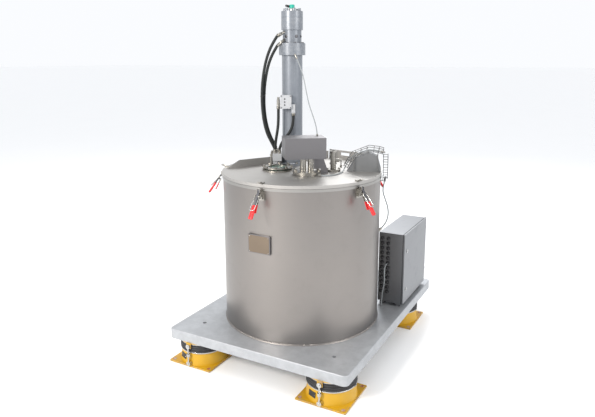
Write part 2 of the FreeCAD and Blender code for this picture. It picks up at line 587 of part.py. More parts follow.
def lid_catch():
    """The hook on the lid's rim that the clamp's loop goes over."""
    outline = [(LID_R - 34, LID_TOP), (LID_R + 2, LID_TOP),
               (CLAMP_R - 8, LID_TOP + 8), (CLAMP_R + 8, LID_TOP + 12),
               (CLAMP_R + 8, LID_TOP + 20), (CLAMP_R - 14, LID_TOP + 20), (LID_R - 4, LID_TOP + 9),
               (LID_R - 34, LID_TOP + 9)]
    return upright(outline, -12, 12)


def hinge_arm(y):
    """A welded arm from the lid to the hinge pin."""
    outline = [(470, LID_TOP), (LID_R - 2, LID_TOP), (HINGE_R - 20, HINGE_Z - 20), (HINGE_R, HINGE_Z - 24),
               (HINGE_R, HINGE_Z + 23), (560, LID_TOP + 44), (470, LID_TOP + 12)]
    arm = upright(outline, y - HINGE_ARM_T / 2, y + HINGE_ARM_T / 2)
    eye = cyl(HINGE_PIN_R + 9, HINGE_ARM_T, V(HINGE_R, y - HINGE_ARM_T / 2, HINGE_Z), V(0, 1, 0))
    bore = cyl(HINGE_PIN_R + RUN, HINGE_ARM_T, V(HINGE_R, y - HINGE_ARM_T / 2, HINGE_Z), V(0, 1, 0))
    return fused([arm, eye]).cut(bore)


def lid_catches():
    arms = [turned(hinge_arm(y), HINGE_AZ) for y in (-HINGE_ARM_Y, HINGE_ARM_Y)]
    return around(lid_catch(), CLAMP_AZ) + arms


LID_UP = V(0, 0, LID_TOP)


def sight_ring():
    """The sight glass's flange and its clamping ring."""
    at = SIGHT_AT + LID_UP
    flange = tube(SIGHT_R, SIGHT_OPEN, 10, at)
    ring = tube(SIGHT_R - 4, SIGHT_OPEN - 4, SIGHT_H - 18, at + V(0, 0, 18))
    return [flange, ring]


def sight_pane():
    return cyl(SIGHT_OPEN + 14, 8, SIGHT_AT + LID_UP + V(0, 0, 10)).cut(sight_wiper_bore())


WIPER_AT = SIGHT_AT + V(-48, -20, 0)


def sight_wiper_bore():
    return cyl(5 + RUN, 30, WIPER_AT + LID_UP + V(0, 0, -4))


def sight_wiper():
    """The spindle through the pane with its knob above and its blade below."""
    at = WIPER_AT + LID_UP
    stem = cyl(5, 118, at + V(0, 0, 0))
    knob = cyl(9, 16, at + V(0, 0, 104))
    blade = block(-4, 88, -4, 4, -2, 6)
    blade = moved(turned(blade, -20), at)
    return fused([stem, knob, blade])


def feed_nozzle():
    """The front nozzle: a thick flange with two upright pipes and the feed pipe hanging below."""
    at = FEED_AT + LID_UP
    pad = tube(FEED_R - 14, FEED_OPEN, 12, at)
    pipes, cuts = [], []
    along = polar(FEED_PIPE_GAP / 2, BOX_TURN)
    for side in (-1, 1):
        foot = at + along * side
        pipes.append(cyl(FEED_PIPE_R, BOX_Z - 1, foot))
        cuts.append(cyl(FEED_BORE_R, BOX_Z + 420, foot + V(0, 0, -400)))
    lid = cyl(FEED_R, 16, at + V(0, 0, 12))
    down = cyl(FEED_PIPE_R, 330, at + along - V(0, 0, 330))
    return [pad, fused([lid, down] + pipes).cut(fused(cuts)).cut(pad)]


def wash_nozzle():
    """The right nozzle: flange, upright pipe with a union, elbow valve body and the wash pipe below."""
    at = WASH_AT + LID_UP
    flange = cyl(WASH_R, 16, at)
    pipe = cyl(WASH_PIPE_R, WASH_H, at)
    union = [cyl(WASH_PIPE_R + 6, 14, at + V(0, 0, z)) for z in (52, WASH_H - 14)]
    side = rod(at + V(0, 0, 82), at + polar(46, 20, 82), 13)
    down = cyl(WASH_PIPE_R, 300, at - V(0, 0, 300))
    bore = cyl(WASH_BORE_R, WASH_H + 300, at - V(0, 0, 300))
    seat = rod(at + polar(46, 20, 82), at + polar(54, 20, 82), 5)
    return fused([flange, pipe, side, down, seat] + union).cut(bore)


def wash_handle():
    """The valve's lever, on the end of its stem."""
    at = WASH_AT + LID_UP + polar(54 + 0.3, 20, 82)
    hub = rod(at, at + polar(10, 20), 9)
    arm = rod(at + polar(5, 20), at + polar(5, 20, -44), 4)
    knob = rod(at + polar(5, 20, -36), at + polar(5, 20, -56), 8)
    return fused([hub, arm, knob])


def lid_nozzles():
    return sight_ring() + feed_nozzle() + [wash_nozzle()]


def column_point(u, w, z):
    """A point near the column: u to its right, w forward of it, z above the lid."""
    turn = math.radians(COLUMN_TURN)
    across = V(math.cos(turn), math.sin(turn), 0)
    forward = V(math.sin(turn), -math.cos(turn), 0)
    return COLUMN_AT + LID_UP + across * u + forward * w + V(0, 0, z)


def on_column(shape):
    """Places a shape modelled with +X across, -Y forward and Z above the lid."""
    return moved(turned(shape, COLUMN_TURN), COLUMN_AT + LID_UP)


COLLAR_Z = TUBE_H
NECK_Z = COLLAR_Z + COLLAR_H
HEAD_Z = NECK_Z + NECK_H
HEAD_TOP = HEAD_Z + HEAD_H


def lid_fasteners():
    """Bolt heads and nuts of the sight glass, nozzles and column, each a separate solid."""
    up = LID_UP
    sight = bolt_circle(2 * SIGHT_R - 26, SIGHT_BOLTS, SIGHT_AT + up + V(0, 0, SIGHT_H), 18, 14, 22.5)
    feed = bolt_circle(2 * FEED_R - 26, 8, FEED_AT + up + V(0, 0, 28), 19, 12, 12)
    wash = bolt_circle(2 * WASH_R - 22, 4, WASH_AT + up + V(0, 0, 16), 15, 10, 40)
    column = [hexagon(18, 12, COLUMN_AT + up + polar(95, az, BASE_FLANGE_T)) for az in (0, 45, 230, 275, 320)]
    crown = bolt_circle(118, 6, COLUMN_AT + up + V(0, 0, HEAD_TOP), 24, 22, 15)
    return sight + feed + wash + column + crown


def instrument_box():
    """A sheet box open at the bottom, and the folded bracket that carries it."""
    half_l, half_d = BOX_L / 2, BOX_D / 2
    shell = block(-half_l, half_l, -half_d, half_d, BOX_Z, BOX_Z + BOX_H)
    hollow = block(-half_l + BOX_WALL, half_l - BOX_WALL, -half_d + BOX_WALL, half_d - BOX_WALL,
                   BOX_Z, BOX_Z + BOX_H - BOX_WALL)
    shell = shell.cut(hollow)
    web_outline = [(128, 0), (186, 0), (150, 108), (146, BOX_Z), (76, BOX_Z), (76, 34), (126, 34)]
    web = upright(web_outline, 0, 3)
    fold = prism([V(186, 3, 0), V(150, 3, 108), V(146, 3, 108), V(182, 3, 0)], V(0, 24, 0))
    shelf = block(76, half_l - BOX_WALL, 0, half_d - BOX_WALL, BOX_Z, BOX_Z + 3)
    foot = block(128, 182, 0, 27, 0, 3)
    bracket = fused([web, fold, shelf, foot])
    place = BOX_AT + LID_UP
    return [moved(turned(s, BOX_TURN), place) for s in (shell, bracket)]


def tray_section(path, rungs, under=0.0):
    """A wire tray along a path of radius and height pairs: long wires, and cross wires bent to a U."""
    wires, cross = [], []
    sides = ((-TRAY_HALF, 0), (0, 0), (TRAY_HALF, 0), (-TRAY_HALF, TRAY_SIDE), (TRAY_HALF, TRAY_SIDE))
    points = [V(r, 0, LID_TOP + z) for r, z in path]
    normals = []
    for i, p in enumerate(points):
        ahead = points[min(i + 1, len(points) - 1)] - points[max(i - 1, 0)]
        normals.append(V(-ahead.z, 0, ahead.x).normalize())
    for y, drop in sides:
        wires.append(bent_rod([p + V(0, y, 0) + n * drop for p, n in zip(points, normals)], TRAY_WIRE))
    for i, share in rungs:
        p = points[i] + (points[i + 1] - points[i]) * share
        n = (normals[i] * (1 - share) + normals[i + 1] * share).normalize()
        left, right = V(0, -TRAY_HALF - under, 0) - n * under, V(0, TRAY_HALF + under, 0) - n * under
        hoop = [p + left + n * TRAY_SIDE, p + left, p + right, p + right + n * TRAY_SIDE]
        cross.append(bent_rod(hoop, TRAY_WIRE))
    return turned(fused(wires + cross), TRAY_AZ)


def lid_tray():
    rungs = [(0, 0.06), (0, 0.6), (1, 0.1), (1, 0.5), (1, 0.9), (2, 0.5), (3, 0.1), (3, 0.93)]
    tray = tray_section(TRAY_LID_PATH, rungs)
    outline = [(r, LID_TOP + z) for r, z in HOOD_PATH]
    middle = sum(r for r, z in HOOD_PATH) / len(HOOD_PATH)
    inner = [(r + (3 * HOOD_SHEET if r < middle else -HOOD_SHEET), max(z - 2 * HOOD_SHEET, LID_TOP))
             for r, z in outline]
    hood = upright(outline, -HOOD_HALF, HOOD_HALF)
    hood = hood.cut(upright(inner, -HOOD_HALF + HOOD_SHEET, HOOD_HALF - HOOD_SHEET))
    stands = (TRAY_LID_PATH[1], TRAY_LID_PATH[3])
    posts = [rod(V(r, 0, LID_TOP + z - 16), V(r, 0, LID_TOP + z), 3) for r, z in stands]
    posts = [turned(p.cut(hood), TRAY_AZ).cut(tray) for p in posts]
    return [tray, turned(hood, TRAY_AZ)] + [p for p in posts if p.Solids]


def casing_tray():
    """The wires outside the rim, on a stand-off from the casing wall."""
    tray = tray_section(TRAY_DROP_PATH, [(0, share) for share in DROP_RUNGS], TRAY_WIRE * 0.8)
    tray_r, tray_z = TRAY_DROP_PATH[-1]
    arm = block(CASE_R - 2, tray_r, -8, 8, CASE_H - 30, CASE_H - 24).cut(cyl(CASE_R, LID_TOP))
    stay = block(tray_r - 5, tray_r, -8, 8, CASE_H - 24, LID_TOP + tray_z + 4)
    arm = turned(fused([arm, stay]), TRAY_AZ).cut(tray)
    out = polar(1, TRAY_AZ)
    start = out * SIDE_ROUTE[0][0] + V(0, 0, SIDE_ROUTE[0][1])
    below = out * SIDE_ROUTE[1][0] + V(0, 0, SIDE_ROUTE[1][1])
    plug = rod(start, start + (start - below).normalize() * 40, 9).cut(tray).cut(arm)
    return [tray, arm, plug]


# ---------------------------------------------------------------- scraper column
def column_tube():
    """The hydraulic cylinder's tube on its base flange, flattened beside the lid's bar."""
    flange = cyl(BASE_FLANGE_R, BASE_FLANGE_T, COLUMN_AT + LID_UP)
    flange = flange.cut(keep_off_bar())
    body = fused([flange, cyl(TUBE_R, TUBE_H, COLUMN_AT + LID_UP)])
    return body.cut(cyl(TUBE_BORE_R, TUBE_H, COLUMN_AT + LID_UP + V(0, 0, 24))).cut(shaft_hole())


def keep_off_bar():
    """The space on the far side of the lid's left bar, with a small clearance."""
    start, end = LEFT_BAR
    along = (end - start).normalize()
    inward = V(along.y, -along.x, 0)
    edge = start + inward * (BAR_T / 2 + 1) + V(0, 0, LID_TOP)
    far = -inward * 200
    return prism([edge, edge + along * 900, edge + along * 900 + far, edge + far], V(0, 0, 40))


def shaft_hole():
    return cyl(SHAFT_R + RUN, 60, COLUMN_AT + LID_UP + V(0, 0, -10))


def column_head():
    """The collar, the neck with its ports and the two-part head above it."""
    collar = tube(COLLAR_R, TUBE_BORE_R, COLLAR_H, V(0, 0, COLLAR_Z))
    neck = tube(NECK_R, SHAFT_R + 20, NECK_H, V(0, 0, NECK_Z))
    lower = tube(HEAD_R, SHAFT_R + 20, HEAD_SPLIT, V(0, 0, HEAD_Z))
    upper = cyl(HEAD_R, HEAD_H - HEAD_SPLIT - 1, V(0, 0, HEAD_Z + HEAD_SPLIT + 1))
    groove = cyl(HEAD_R - 3, 1, V(0, 0, HEAD_Z + HEAD_SPLIT))
    return [on_column(s) for s in (collar, fused([neck, lower]), fused([upper, groove]))]


def cable_entry(end, beyond, length, r):
    """A small gland behind a cable's end, in line with its last run."""
    return rod(end, end + (end - beyond).normalize() * length, r)


def column_fittings(hoses):
    """Position sensor with its plug, the unions at both ends of the hoses, and the thin cables' glands."""
    sensor = cyl(20, 28, V(0, 0, HEAD_TOP + 22)).fuse(cyl(26, 22, V(0, 0, HEAD_TOP)))
    plug = rod(V(-20, 0, HEAD_TOP + 36), V(-52, 0, HEAD_TOP + 44), 10)
    pieces = [on_column(sensor), on_column(plug.cut(sensor))]
    around_them = column_head() + valve_block() + [column_tube()] + hoses
    for start, end, r in HOSE_UNIONS:
        union = rod(column_point(*start), column_point(*end), r)
        pieces.append(union.cut(Part.makeCompound(around_them)))
    sensor_ends = [column_point(*p) for p in SENSOR_ROUTE]
    lid_ends = [V(*p) + LID_UP for p in LID_CABLE_ROUTE]
    head = Part.makeCompound(column_head())
    box = Part.makeCompound(instrument_box())
    nozzle = feed_nozzle()
    pieces.append(cable_entry(sensor_ends[0], sensor_ends[1], 46, GLAND_R).cut(head))
    pieces.append(cable_entry(sensor_ends[-1], sensor_ends[-2], 22, GLAND_R).cut(box))
    pieces.append(cable_entry(lid_ends[0], lid_ends[1], 26, GLAND_R).cut(nozzle[1]).cut(nozzle[0]))
    pieces.append(cable_entry(lid_ends[-1], lid_ends[-2], 36, GLAND_R).cut(Part.makeCompound(lid_tray())))
    return pieces


def valve_block():
    """The check valve block clamped to the tube, its side port, and the manifold on the lid."""
    body = block(-89, -5, -128, -78, 454, 557)
    saddle = block(-70, -24, -78, -40, 470, 540)
    side = block(-5, 24, -112, -84, 420, 486)
    body = fused([body, saddle, side]).cut(cyl(TUBE_R, TUBE_H))
    ports = [cyl(6, 8, V(-56, -128, z), V(0, 1, 0)) for z in (482, 505, 528)]
    body = body.cut(fused(ports))
    foot = block(-152, -116, -96, -14, 0, MANIFOLD_Z)
    manifold = block(-154, -84, -110, 2, MANIFOLD_Z, MANIFOLD_Z + MANIFOLD_H).cut(cyl(TUBE_R + 4, 200))
    return [on_column(body), on_column(fused([foot, manifold]))]


MANIFOLD_TOP = MANIFOLD_Z + MANIFOLD_H

# Each route is a list of u, w, z beside the column, as in column_point.
HOSE_ROUTES = {
    "hose_upper": [(-112, 70, 1000), (-152, 68, 940), (-188, 62, 858), (-214, 52, 762), (-231, 42, 655),
                   (-238, 34, 545), (-235, 30, 434), (-223, 32, 339), (-200, 38, 250), (-166, 46, 185),
                   (-140, 50, 134)],
    "hose_lower": [(-112, 66, 928), (-146, 60, 872), (-178, 46, 785), (-199, 30, 682), (-211, 14, 575),
                   (-214, 2, 471), (-207, -4, 380), (-191, -4, 292), (-166, 2, 215), (-144, 10, 168),
                   (-130, 15, 134)],
    "hose_left": [(-106, 102, 449), (-106, 102, 398), (-108, 101, 340), (-114, 98, 284), (-124, 93, 230),
                  (-132, 87, 180), (-134, 82, 134)],
    "hose_right": [(10, 104, 398), (8, 105, 338), (-12, 107, 280), (-51, 108, 228), (-86, 102, 182),
                   (-101, 94, 134)],
}
UNION_R = HOSE_D / 2 + 1.5
HOSE_UNIONS = (
    ((-46, 54, 1036), (-80, 62, 1018), NIPPLE_R), ((-80, 62, 1018), (-112, 70, 1000), UNION_R),
    ((-46, 55, 985), (-112, 66, 928), NIPPLE_R),
    ((-140, 50, 134), (-140, 50, MANIFOLD_TOP), UNION_R),
    ((-130, 15, 134), (-130, 15, MANIFOLD_TOP), UNION_R),
    ((-134, 82, 134), (-134, 82, MANIFOLD_TOP), UNION_R),
    ((-101, 94, 134), (-101, 94, MANIFOLD_TOP), UNION_R),
    ((-106, 102, 449), (-106, 102, 545), UNION_R),
    ((10, 104, 398), (10, 104, 420), UNION_R),
)
SENSOR_ROUTE = [(38, 100, 830), (62, 104, 775), (85, 108, 705), (101, 125, 630), (114, 155, 560),
                (129, 190, 494), (149, 230, 437), (168, 275, 385), (181, 325, 342), (186, 358, 315),
                (188, 376, 290)]


def hose_solids():
    return [cord([column_point(*p) for p in route], HOSE_D, node) for node, route in HOSE_ROUTES.items()]


def save_hoses(hoses):
    for node, solid in zip(HOSE_ROUTES, hoses):
        save(node, [solid])
    save("sensor_cable", [cord([column_point(*p) for p in SENSOR_ROUTE], THIN_D, "sensor_cable")])


# ---------------------------------------------------------------- scraper
def scraper_piston():
    """The piston ring that lifts the shaft, with the collar it turns in."""
    foot = COLUMN_AT + LID_UP + V(0, 0, TUBE_H - PISTON_T - 10)
    return tube(TUBE_BORE_R - RUN, SHAFT_R + RUN, PISTON_T, foot)


def scraper_shaft():
    """The long shaft down through the lid, with a shoulder above and below the piston."""
    at = COLUMN_AT
    top = LID_TOP + TUBE_H + 40
    shaft = cyl(SHAFT_R, top - KNIFE_TOP + 60, at + V(0, 0, KNIFE_TOP - 60))
    over = LID_TOP + TUBE_H - 10 + 0.3
    collars = [cyl(SHAFT_R + 12, 14, at + V(0, 0, z)) for z in (over, over - PISTON_T - 14 - 0.6)]
    return fused([shaft] + collars)


def scraper_knife():
    """The arm, parked over the basket's centre, with the upright blade at its end."""
    inward = math.degrees(math.atan2(-COLUMN_AT.y, -COLUMN_AT.x))
    hub = tube(SHAFT_R + 20, SHAFT_R, 70, V(0, 0, KNIFE_TOP - 80))
    arm = block(SHAFT_R + 10, ARM_LEN - 10, -14, 14, KNIFE_TOP - 70, KNIFE_TOP - 30)
    blade = block(ARM_LEN - 60, ARM_LEN, -KNIFE_T / 2, KNIFE_T / 2, KNIFE_TOP - KNIFE_H, KNIFE_TOP)
    knife = fused([hub, arm, blade]).cut(cyl(SHAFT_R, 90, V(0, 0, KNIFE_TOP - 90)))
    return moved(turned(knife, inward), COLUMN_AT)


# ---------------------------------------------------------------- lid clamps
PIVOT = V(CLAMP_R, 0, CLAMP_Z)
CROSS = V(0, 1, 0)


def swung_out(shape, about, degrees):
    """Turns a hanging shape outwards about a pin across the clamp."""
    return turned(shape, -degrees, about, CROSS)


def clamp_lever():
    """The arm with its cross pin and release lug, and the grip pushed on its end."""
    half = LEVER_W / 2
    x, z = CLAMP_R, CLAMP_Z
    eye = cyl(9, LEVER_W, V(x, -half, z), CROSS)
    arm = block(x - LEVER_T / 2, x + LEVER_T / 2, -half, half, z - LEVER_LEN + 20, z)
    loop_pin = rod(V(x, -LOOP_HALF - 6, z - LOOP_AT), V(x, LOOP_HALF + 6, z - LOOP_AT), 4)
    lug = block(x - RELEASE_SET - 5, x, -4, 4, z - RELEASE_AT - 7, z - RELEASE_AT + 7)
    release_pin = rod(V(x - RELEASE_SET, -9, z - RELEASE_AT), V(x - RELEASE_SET, 9, z - RELEASE_AT), 2.5)
    arm = fused([eye, arm, loop_pin, lug, release_pin]).cut(cyl(4 + RUN, 40, V(x, -20, z), CROSS))
    foot = z - LEVER_LEN
    grip = block(x - GRIP_T / 2, x + GRIP_T / 2, -GRIP_W / 2, GRIP_W / 2, foot, foot + GRIP_LEN)
    grip = grip.makeFillet(GRIP_ROUND, grip.Edges).cut(arm)
    return [swung_out(s, PIVOT, CLAMP_OPEN) for s in (arm, grip)]


def clamp_loop():
    """The wire loop that goes over the catch, lying on the grip."""
    x, z = CLAMP_R, CLAMP_Z - LOOP_AT
    ends = [V(x, side * LOOP_HALF, z) for side in (-1, 1)]
    far = [V(x, side * LOOP_HALF, z - LOOP_LEN) for side in (-1, 1)]
    eyes = [tube(8, 4 + RUN, 8, e - V(0, 4, 0), CROSS) for e in ends]
    bores = fused([cyl(4 + RUN, 12, e - V(0, 6, 0), CROSS) for e in ends])
    start = [e - V(0, 0, 6) for e in ends]
    wire = bent_rod([start[0], far[0], far[1], start[1]], LOOP_WIRE)
    loop = swung_out(fused([wire] + eyes).cut(bores), V(x, 0, z), LOOP_LIFT)
    return swung_out(loop, PIVOT, CLAMP_OPEN)


def clamp_release():
    """The small release lever behind the grip."""
    x, z = CLAMP_R - RELEASE_SET, CLAMP_Z - RELEASE_AT
    cheeks = [block(x - 5, x + 5, y, y + 3, z - 26, z + 5) for y in (-7.5, 4.5)]
    bridge = block(x - 5, x + 5, -7.5, 7.5, z - 34, z - 20)
    tip = block(x - RELEASE_T / 2, x + RELEASE_T / 2, -RELEASE_W / 2, RELEASE_W / 2, z - RELEASE_LEN, z - 30)
    tip = tip.makeFillet(RELEASE_T / 3, tip.Edges)
    release = fused(cheeks + [bridge, tip]).cut(cyl(2.5 + RUN, 20, V(x, -10, z), CROSS))
    release = swung_out(release, V(x, 0, z), -RELEASE_TILT)
    return swung_out(release, PIVOT, CLAMP_OPEN)


def save_clamps():
    for number, az in enumerate(CLAMP_AZ, 1):
        save(f"clamp_lever_{number}", [turned(s, az) for s in clamp_lever()])
        save(f"clamp_loop_{number}", [turned(clamp_loop(), az)])
        save(f"clamp_release_{number}", [turned(clamp_release(), az)])


# ---------------------------------------------------------------- cabinet
CAB_FRONT_X = CAB_X + CAB_D
CAB_TOP = CAB_Z + CAB_H


def cabinet_body():
    """The sheet case on four feet, with its mounting plate and rows of terminals inside."""
    shell = block(CAB_X, CAB_FRONT_X, CAB_Y, CAB_Y + CAB_L, CAB_Z, CAB_TOP)
    wall = CAB_WALL
    hollow = block(CAB_X + wall, CAB_FRONT_X, CAB_Y + wall, CAB_Y + CAB_L - wall,
                   CAB_Z + wall, CAB_TOP - wall)
    shell = shell.cut(hollow)
    feet = [block(x, x + 40, y, y + 40, 0, CAB_Z)
            for x in (CAB_X + 10, CAB_FRONT_X - 50) for y in (CAB_Y + 20, CAB_Y + CAB_L - 60)]
    studs = [cyl(5, 20, V(CAB_X + wall, y, z), V(1, 0, 0))
             for y in (CAB_Y + 60, CAB_Y + CAB_L - 60) for z in (CAB_Z + 50, CAB_TOP - 50)]
    back = CAB_X + wall + 20
    plate = block(back, back + 3, CAB_Y + 30, CAB_Y + CAB_L - 30, CAB_Z + 25, CAB_TOP - 25)
    rails = [block(back + 3, back + 10, CAB_Y + 60, CAB_Y + CAB_L - 60, z - 17, z + 17) for z in (200, 400)]
    banks = [block(back + 10, back + 65, CAB_Y + 90, CAB_Y + 90 + w, z - 35, z + 35)
             for z, w in ((200, 380), (400, 300))]
    strikers = [striker(z).cut(shell) for z in LOCK_ZS]
    return [shell] + strikers + feet + studs + [plate] + rails + banks + body_knuckles()


def striker(z):
    """A hooked tongue inside the front edge that the lock's cam turns behind."""
    lip = CAB_FRONT_X + DOOR_GAP + DOOR_T - CAB_WALL - CAM_DEPTH + 1
    inside = CAB_Y + CAB_WALL + 3
    tongue = block(CAB_FRONT_X - 20, lip + 2, inside, inside + 3, z - 12, z + 12)
    root = block(CAB_FRONT_X - 20, CAB_FRONT_X - 4, CAB_Y + CAB_WALL - 1, inside + 3, z - 12, z + 12)
    hook = block(lip, lip + 2, inside, CAB_Y + LOCK_INSET - CAM_LEN + 8, z - 12, z + 12)
    return fused([tongue, root, hook])


def knuckle_axis(z):
    return V(CAB_FRONT_X + DOOR_GAP + 5, CAB_Y + CAB_L + KNUCKLE_OUT, z)


def body_knuckles():
    """The fixed half of each door hinge, with its pin."""
    halves = []
    back = CAB_Y + CAB_L
    for z in KNUCKLE_ZS:
        axis = knuckle_axis(z)
        leaf = block(CAB_FRONT_X - 22, CAB_FRONT_X, back, back + 4, z, z + KNUCKLE_H)
        arm = block(CAB_FRONT_X - 6, axis.x, back + 2, back + 6, z, z + KNUCKLE_H)
        pin = cyl(KNUCKLE_PIN_R, 2 * KNUCKLE_H, axis)
        halves.append(fused([leaf, arm, cyl(KNUCKLE_R, KNUCKLE_H, axis), pin]))
    return halves


def cabinet_door():
    """The door with folded edges and its hinge knuckles at the back."""
    x = CAB_FRONT_X + DOOR_GAP
    door = block(x, x + DOOR_T, CAB_Y, CAB_Y + CAB_L, CAB_Z, CAB_TOP)
    wall = CAB_WALL
    hollow = block(x, x + DOOR_T - wall, CAB_Y + wall, CAB_Y + CAB_L - wall, CAB_Z + wall, CAB_TOP - wall)
    door = door.cut(hollow)
    holes = [cyl(LOCK_R + RUN, 20, V(x + 2, CAB_Y + LOCK_INSET, z), V(1, 0, 0)) for z in LOCK_ZS]
    back = CAB_Y + CAB_L
    for z in KNUCKLE_ZS:
        axis = knuckle_axis(z + KNUCKLE_H + 0.3)
        leaf = block(x + 1, x + DOOR_T, back - 4, axis.y, axis.z, axis.z + KNUCKLE_H - 1)
        door = fused([door, leaf, cyl(KNUCKLE_R, KNUCKLE_H - 1, axis)])
        holes.append(cyl(KNUCKLE_PIN_R + RUN, KNUCKLE_H, axis))
    return door.cut(fused(holes))




def door_lock(z):
    """A quarter-turn lock: round insert through the door, with a cam behind it."""
    x = CAB_FRONT_X + DOOR_GAP + DOOR_T
    at = V(x, CAB_Y + LOCK_INSET, z)
    insert = rod(at - V(CAB_WALL + CAM_DEPTH, 0, 0), at + V(2, 0, 0), LOCK_R)
    rim = rod(at + V(0.3, 0, 0), at + V(3, 0, 0), LOCK_R + 4)
    slot = rod(at + V(1, 0, 0), at + V(4, 0, 0), 5)
    cam = block(x - CAB_WALL - CAM_DEPTH - 3, x - CAB_WALL - CAM_DEPTH, at.y - 8, at.y + 8, z - CAM_LEN, z + 8)
    return fused([insert, rim, cam]).cut(slot)


def cable_glands():
    """Two columns of glands on the cabinet's end, and the one that takes the side cable into the casing."""
    glands = []
    for x in GLAND_XS:
        for row in range(GLAND_ROWS):
            at = V(x, CAB_Y, GLAND_Z0 + GLAND_PITCH * row)
            nut = hexagon(30, 10, at, V(0, -1, 0))
            glands.append(fused([nut, rod(at, at + V(0, -24, 0), 11)]))
    out = polar(1, TRAY_AZ)
    last, end = [out * r + V(0, 0, z) for r, z in SIDE_ROUTE[-2:]]
    side = rod(end, end + (end - last).normalize() * 40, 10)
    glands.append(side.cut(cyl(CASE_R, CASE_H)))
    return glands


# Cable routes: radius and height for the side cable, x, y and height for the others.
SIDE_ROUTE = [(630, 1078), (621, 1035), (621, 992), (638, 945), (658, 890), (667, 832), (658, 778), (638, 738),
              (616, 712)]
LID_CABLE_ROUTE = [(256, -189, 9), (288, -164, 4.4), (314, -126, 4.4), (330, -82, 4.6), (336, -36, 4.4),
                   (332, 4, 4.6), (326, 42, 8), (322, 76, 22), (328, 98, 52), (348, 104, 88), (382, 115, 122),
                   (428, 131, 146), (486, 152, 166), (534, 169, 164), (568, 181, 156)]
CABINET_CABLE_ROUTE = [(GLAND_XS[1], 391, 364), (GLAND_XS[1], 364, 364), (571, 340, 349), (572, 327, 323),
                       (574, 326, 292), (574, 330, 254), (568, 340, 210), (560, 344, 165), (552, 350, 122),
                       (545, 360, 80), (540, 370, 40), (538, 374, 6)]


def save_cables():
    out = polar(1, TRAY_AZ)
    side = [out * r + V(0, 0, z) for r, z in SIDE_ROUTE]
    save("side_cable", [cord(side, SIDE_D, "side_cable")])
    lid = [V(*p) + LID_UP for p in LID_CABLE_ROUTE]
    save("lid_cable", [cord(lid, THIN_D, "lid_cable")])
    save("cabinet_cable", [cord([V(*p) for p in CABINET_CABLE_ROUTE], THIN_D, "cabinet_cable")])


# ---------------------------------------------------------------- the parts
def main():
    save("base_plate", [base_plate()])
    save_isolators()
    save("bearing_spider", bearing_spider())
    save("basket", [basket()])
    save("basket_spindle", spindle())
    save("drive_belt", [drive_belt()])
    save("belt_guard", [belt_guard()])
    save("motor_frame", motor())
    save("motor_shaft", motor_shaft())
    save("casing_shell", [casing_shell()])
    save("casing_floor", [casing_floor()])
    save("casing_ring", [casing_ring()])
    save("lid_seal", [lid_seal()])
    save("nameplate", nameplate())
    save("casing_brackets", casing_brackets())
    save("lid_plate", [lid_plate()])
    save("lid_catches", lid_catches())
    save("lid_nozzles", lid_nozzles())
    save("sight_pane", [sight_pane()])
    save("sight_wiper", [sight_wiper()])
    save("wash_handle", [wash_handle()])
    save("lid_fasteners", lid_fasteners())
    save("instrument_box", instrument_box())
    save("lid_tray", lid_tray())
    save("casing_tray", casing_tray())
    save("column_tube", [column_tube()])
    save("column_head", column_head())
    hoses = hose_solids()
    save("column_fittings", column_fittings(hoses))
    save("valve_block", valve_block())
    save("scraper_piston", [scraper_piston()])
    save("scraper_shaft", [scraper_shaft()])
    save("scraper_knife", [scraper_knife()])
    save_hoses(hoses)
    save_clamps()
    save("cabinet_body", cabinet_body())
    save("cabinet_door", [cabinet_door()])
    save("door_lock_upper", [door_lock(LOCK_ZS[0])])
    save("door_lock_lower", [door_lock(LOCK_ZS[1])])
    save("cable_glands", cable_glands())
    save_cables()


main()
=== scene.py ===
"""Looks of the vertical basket centrifuge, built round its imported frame. Lengths are in metres."""

import json
import math
import random

import bpy
from mathutils import Matrix, Vector


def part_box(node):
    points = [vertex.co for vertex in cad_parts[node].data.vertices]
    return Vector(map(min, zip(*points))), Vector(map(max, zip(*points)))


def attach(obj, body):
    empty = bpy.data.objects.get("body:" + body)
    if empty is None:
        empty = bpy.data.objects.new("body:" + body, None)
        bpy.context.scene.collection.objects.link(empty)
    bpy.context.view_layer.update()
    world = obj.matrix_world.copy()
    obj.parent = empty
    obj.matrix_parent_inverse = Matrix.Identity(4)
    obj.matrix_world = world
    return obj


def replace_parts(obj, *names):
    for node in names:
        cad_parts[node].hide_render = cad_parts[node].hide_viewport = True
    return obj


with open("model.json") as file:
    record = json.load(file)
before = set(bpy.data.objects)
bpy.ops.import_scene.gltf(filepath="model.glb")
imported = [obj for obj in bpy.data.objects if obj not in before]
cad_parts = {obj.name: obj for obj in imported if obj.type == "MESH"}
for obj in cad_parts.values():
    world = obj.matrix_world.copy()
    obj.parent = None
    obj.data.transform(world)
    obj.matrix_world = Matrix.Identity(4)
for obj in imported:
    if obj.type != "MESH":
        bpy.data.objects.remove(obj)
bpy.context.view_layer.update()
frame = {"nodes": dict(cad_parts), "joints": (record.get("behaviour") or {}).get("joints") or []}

MM = 0.001
UP = Vector((0, 0, 1))
JOINTS = {joint["name"]: joint for joint in frame["joints"]}


def upright_axis(node):
    """The point on the floor under the middle of a CAD node."""
    low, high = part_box(node)
    centre = (low + high) / 2
    centre.z = 0
    return centre


AXIS = upright_axis("casing_ring")       # the casing's axis
COLUMN = upright_axis("scraper_piston")  # the scraper column's axis
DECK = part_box("casing_shell")[0].z       # the base plate's top
LID_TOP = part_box("column_tube")[0].z
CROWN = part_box("column_head")[1].z       # the top of the scraper column
CASE_R = 0.600
TUBE_R = 0.080
COLLAR_TOP = 948                         # the collar's height above the lid, in millimetres
COLUMN_TURN = math.radians(28.0)         # the column's valves face forward of the lid by this much
TRAY_TURN = math.radians(20.0)           # where the cable trays cross the casing's rim
CLAMP_OPEN = math.radians(-35.0)         # how far the clamps' levers stand off the wall


def shift(x, y, z):
    """A move along the axes."""
    return Matrix.Translation((x, y, z))


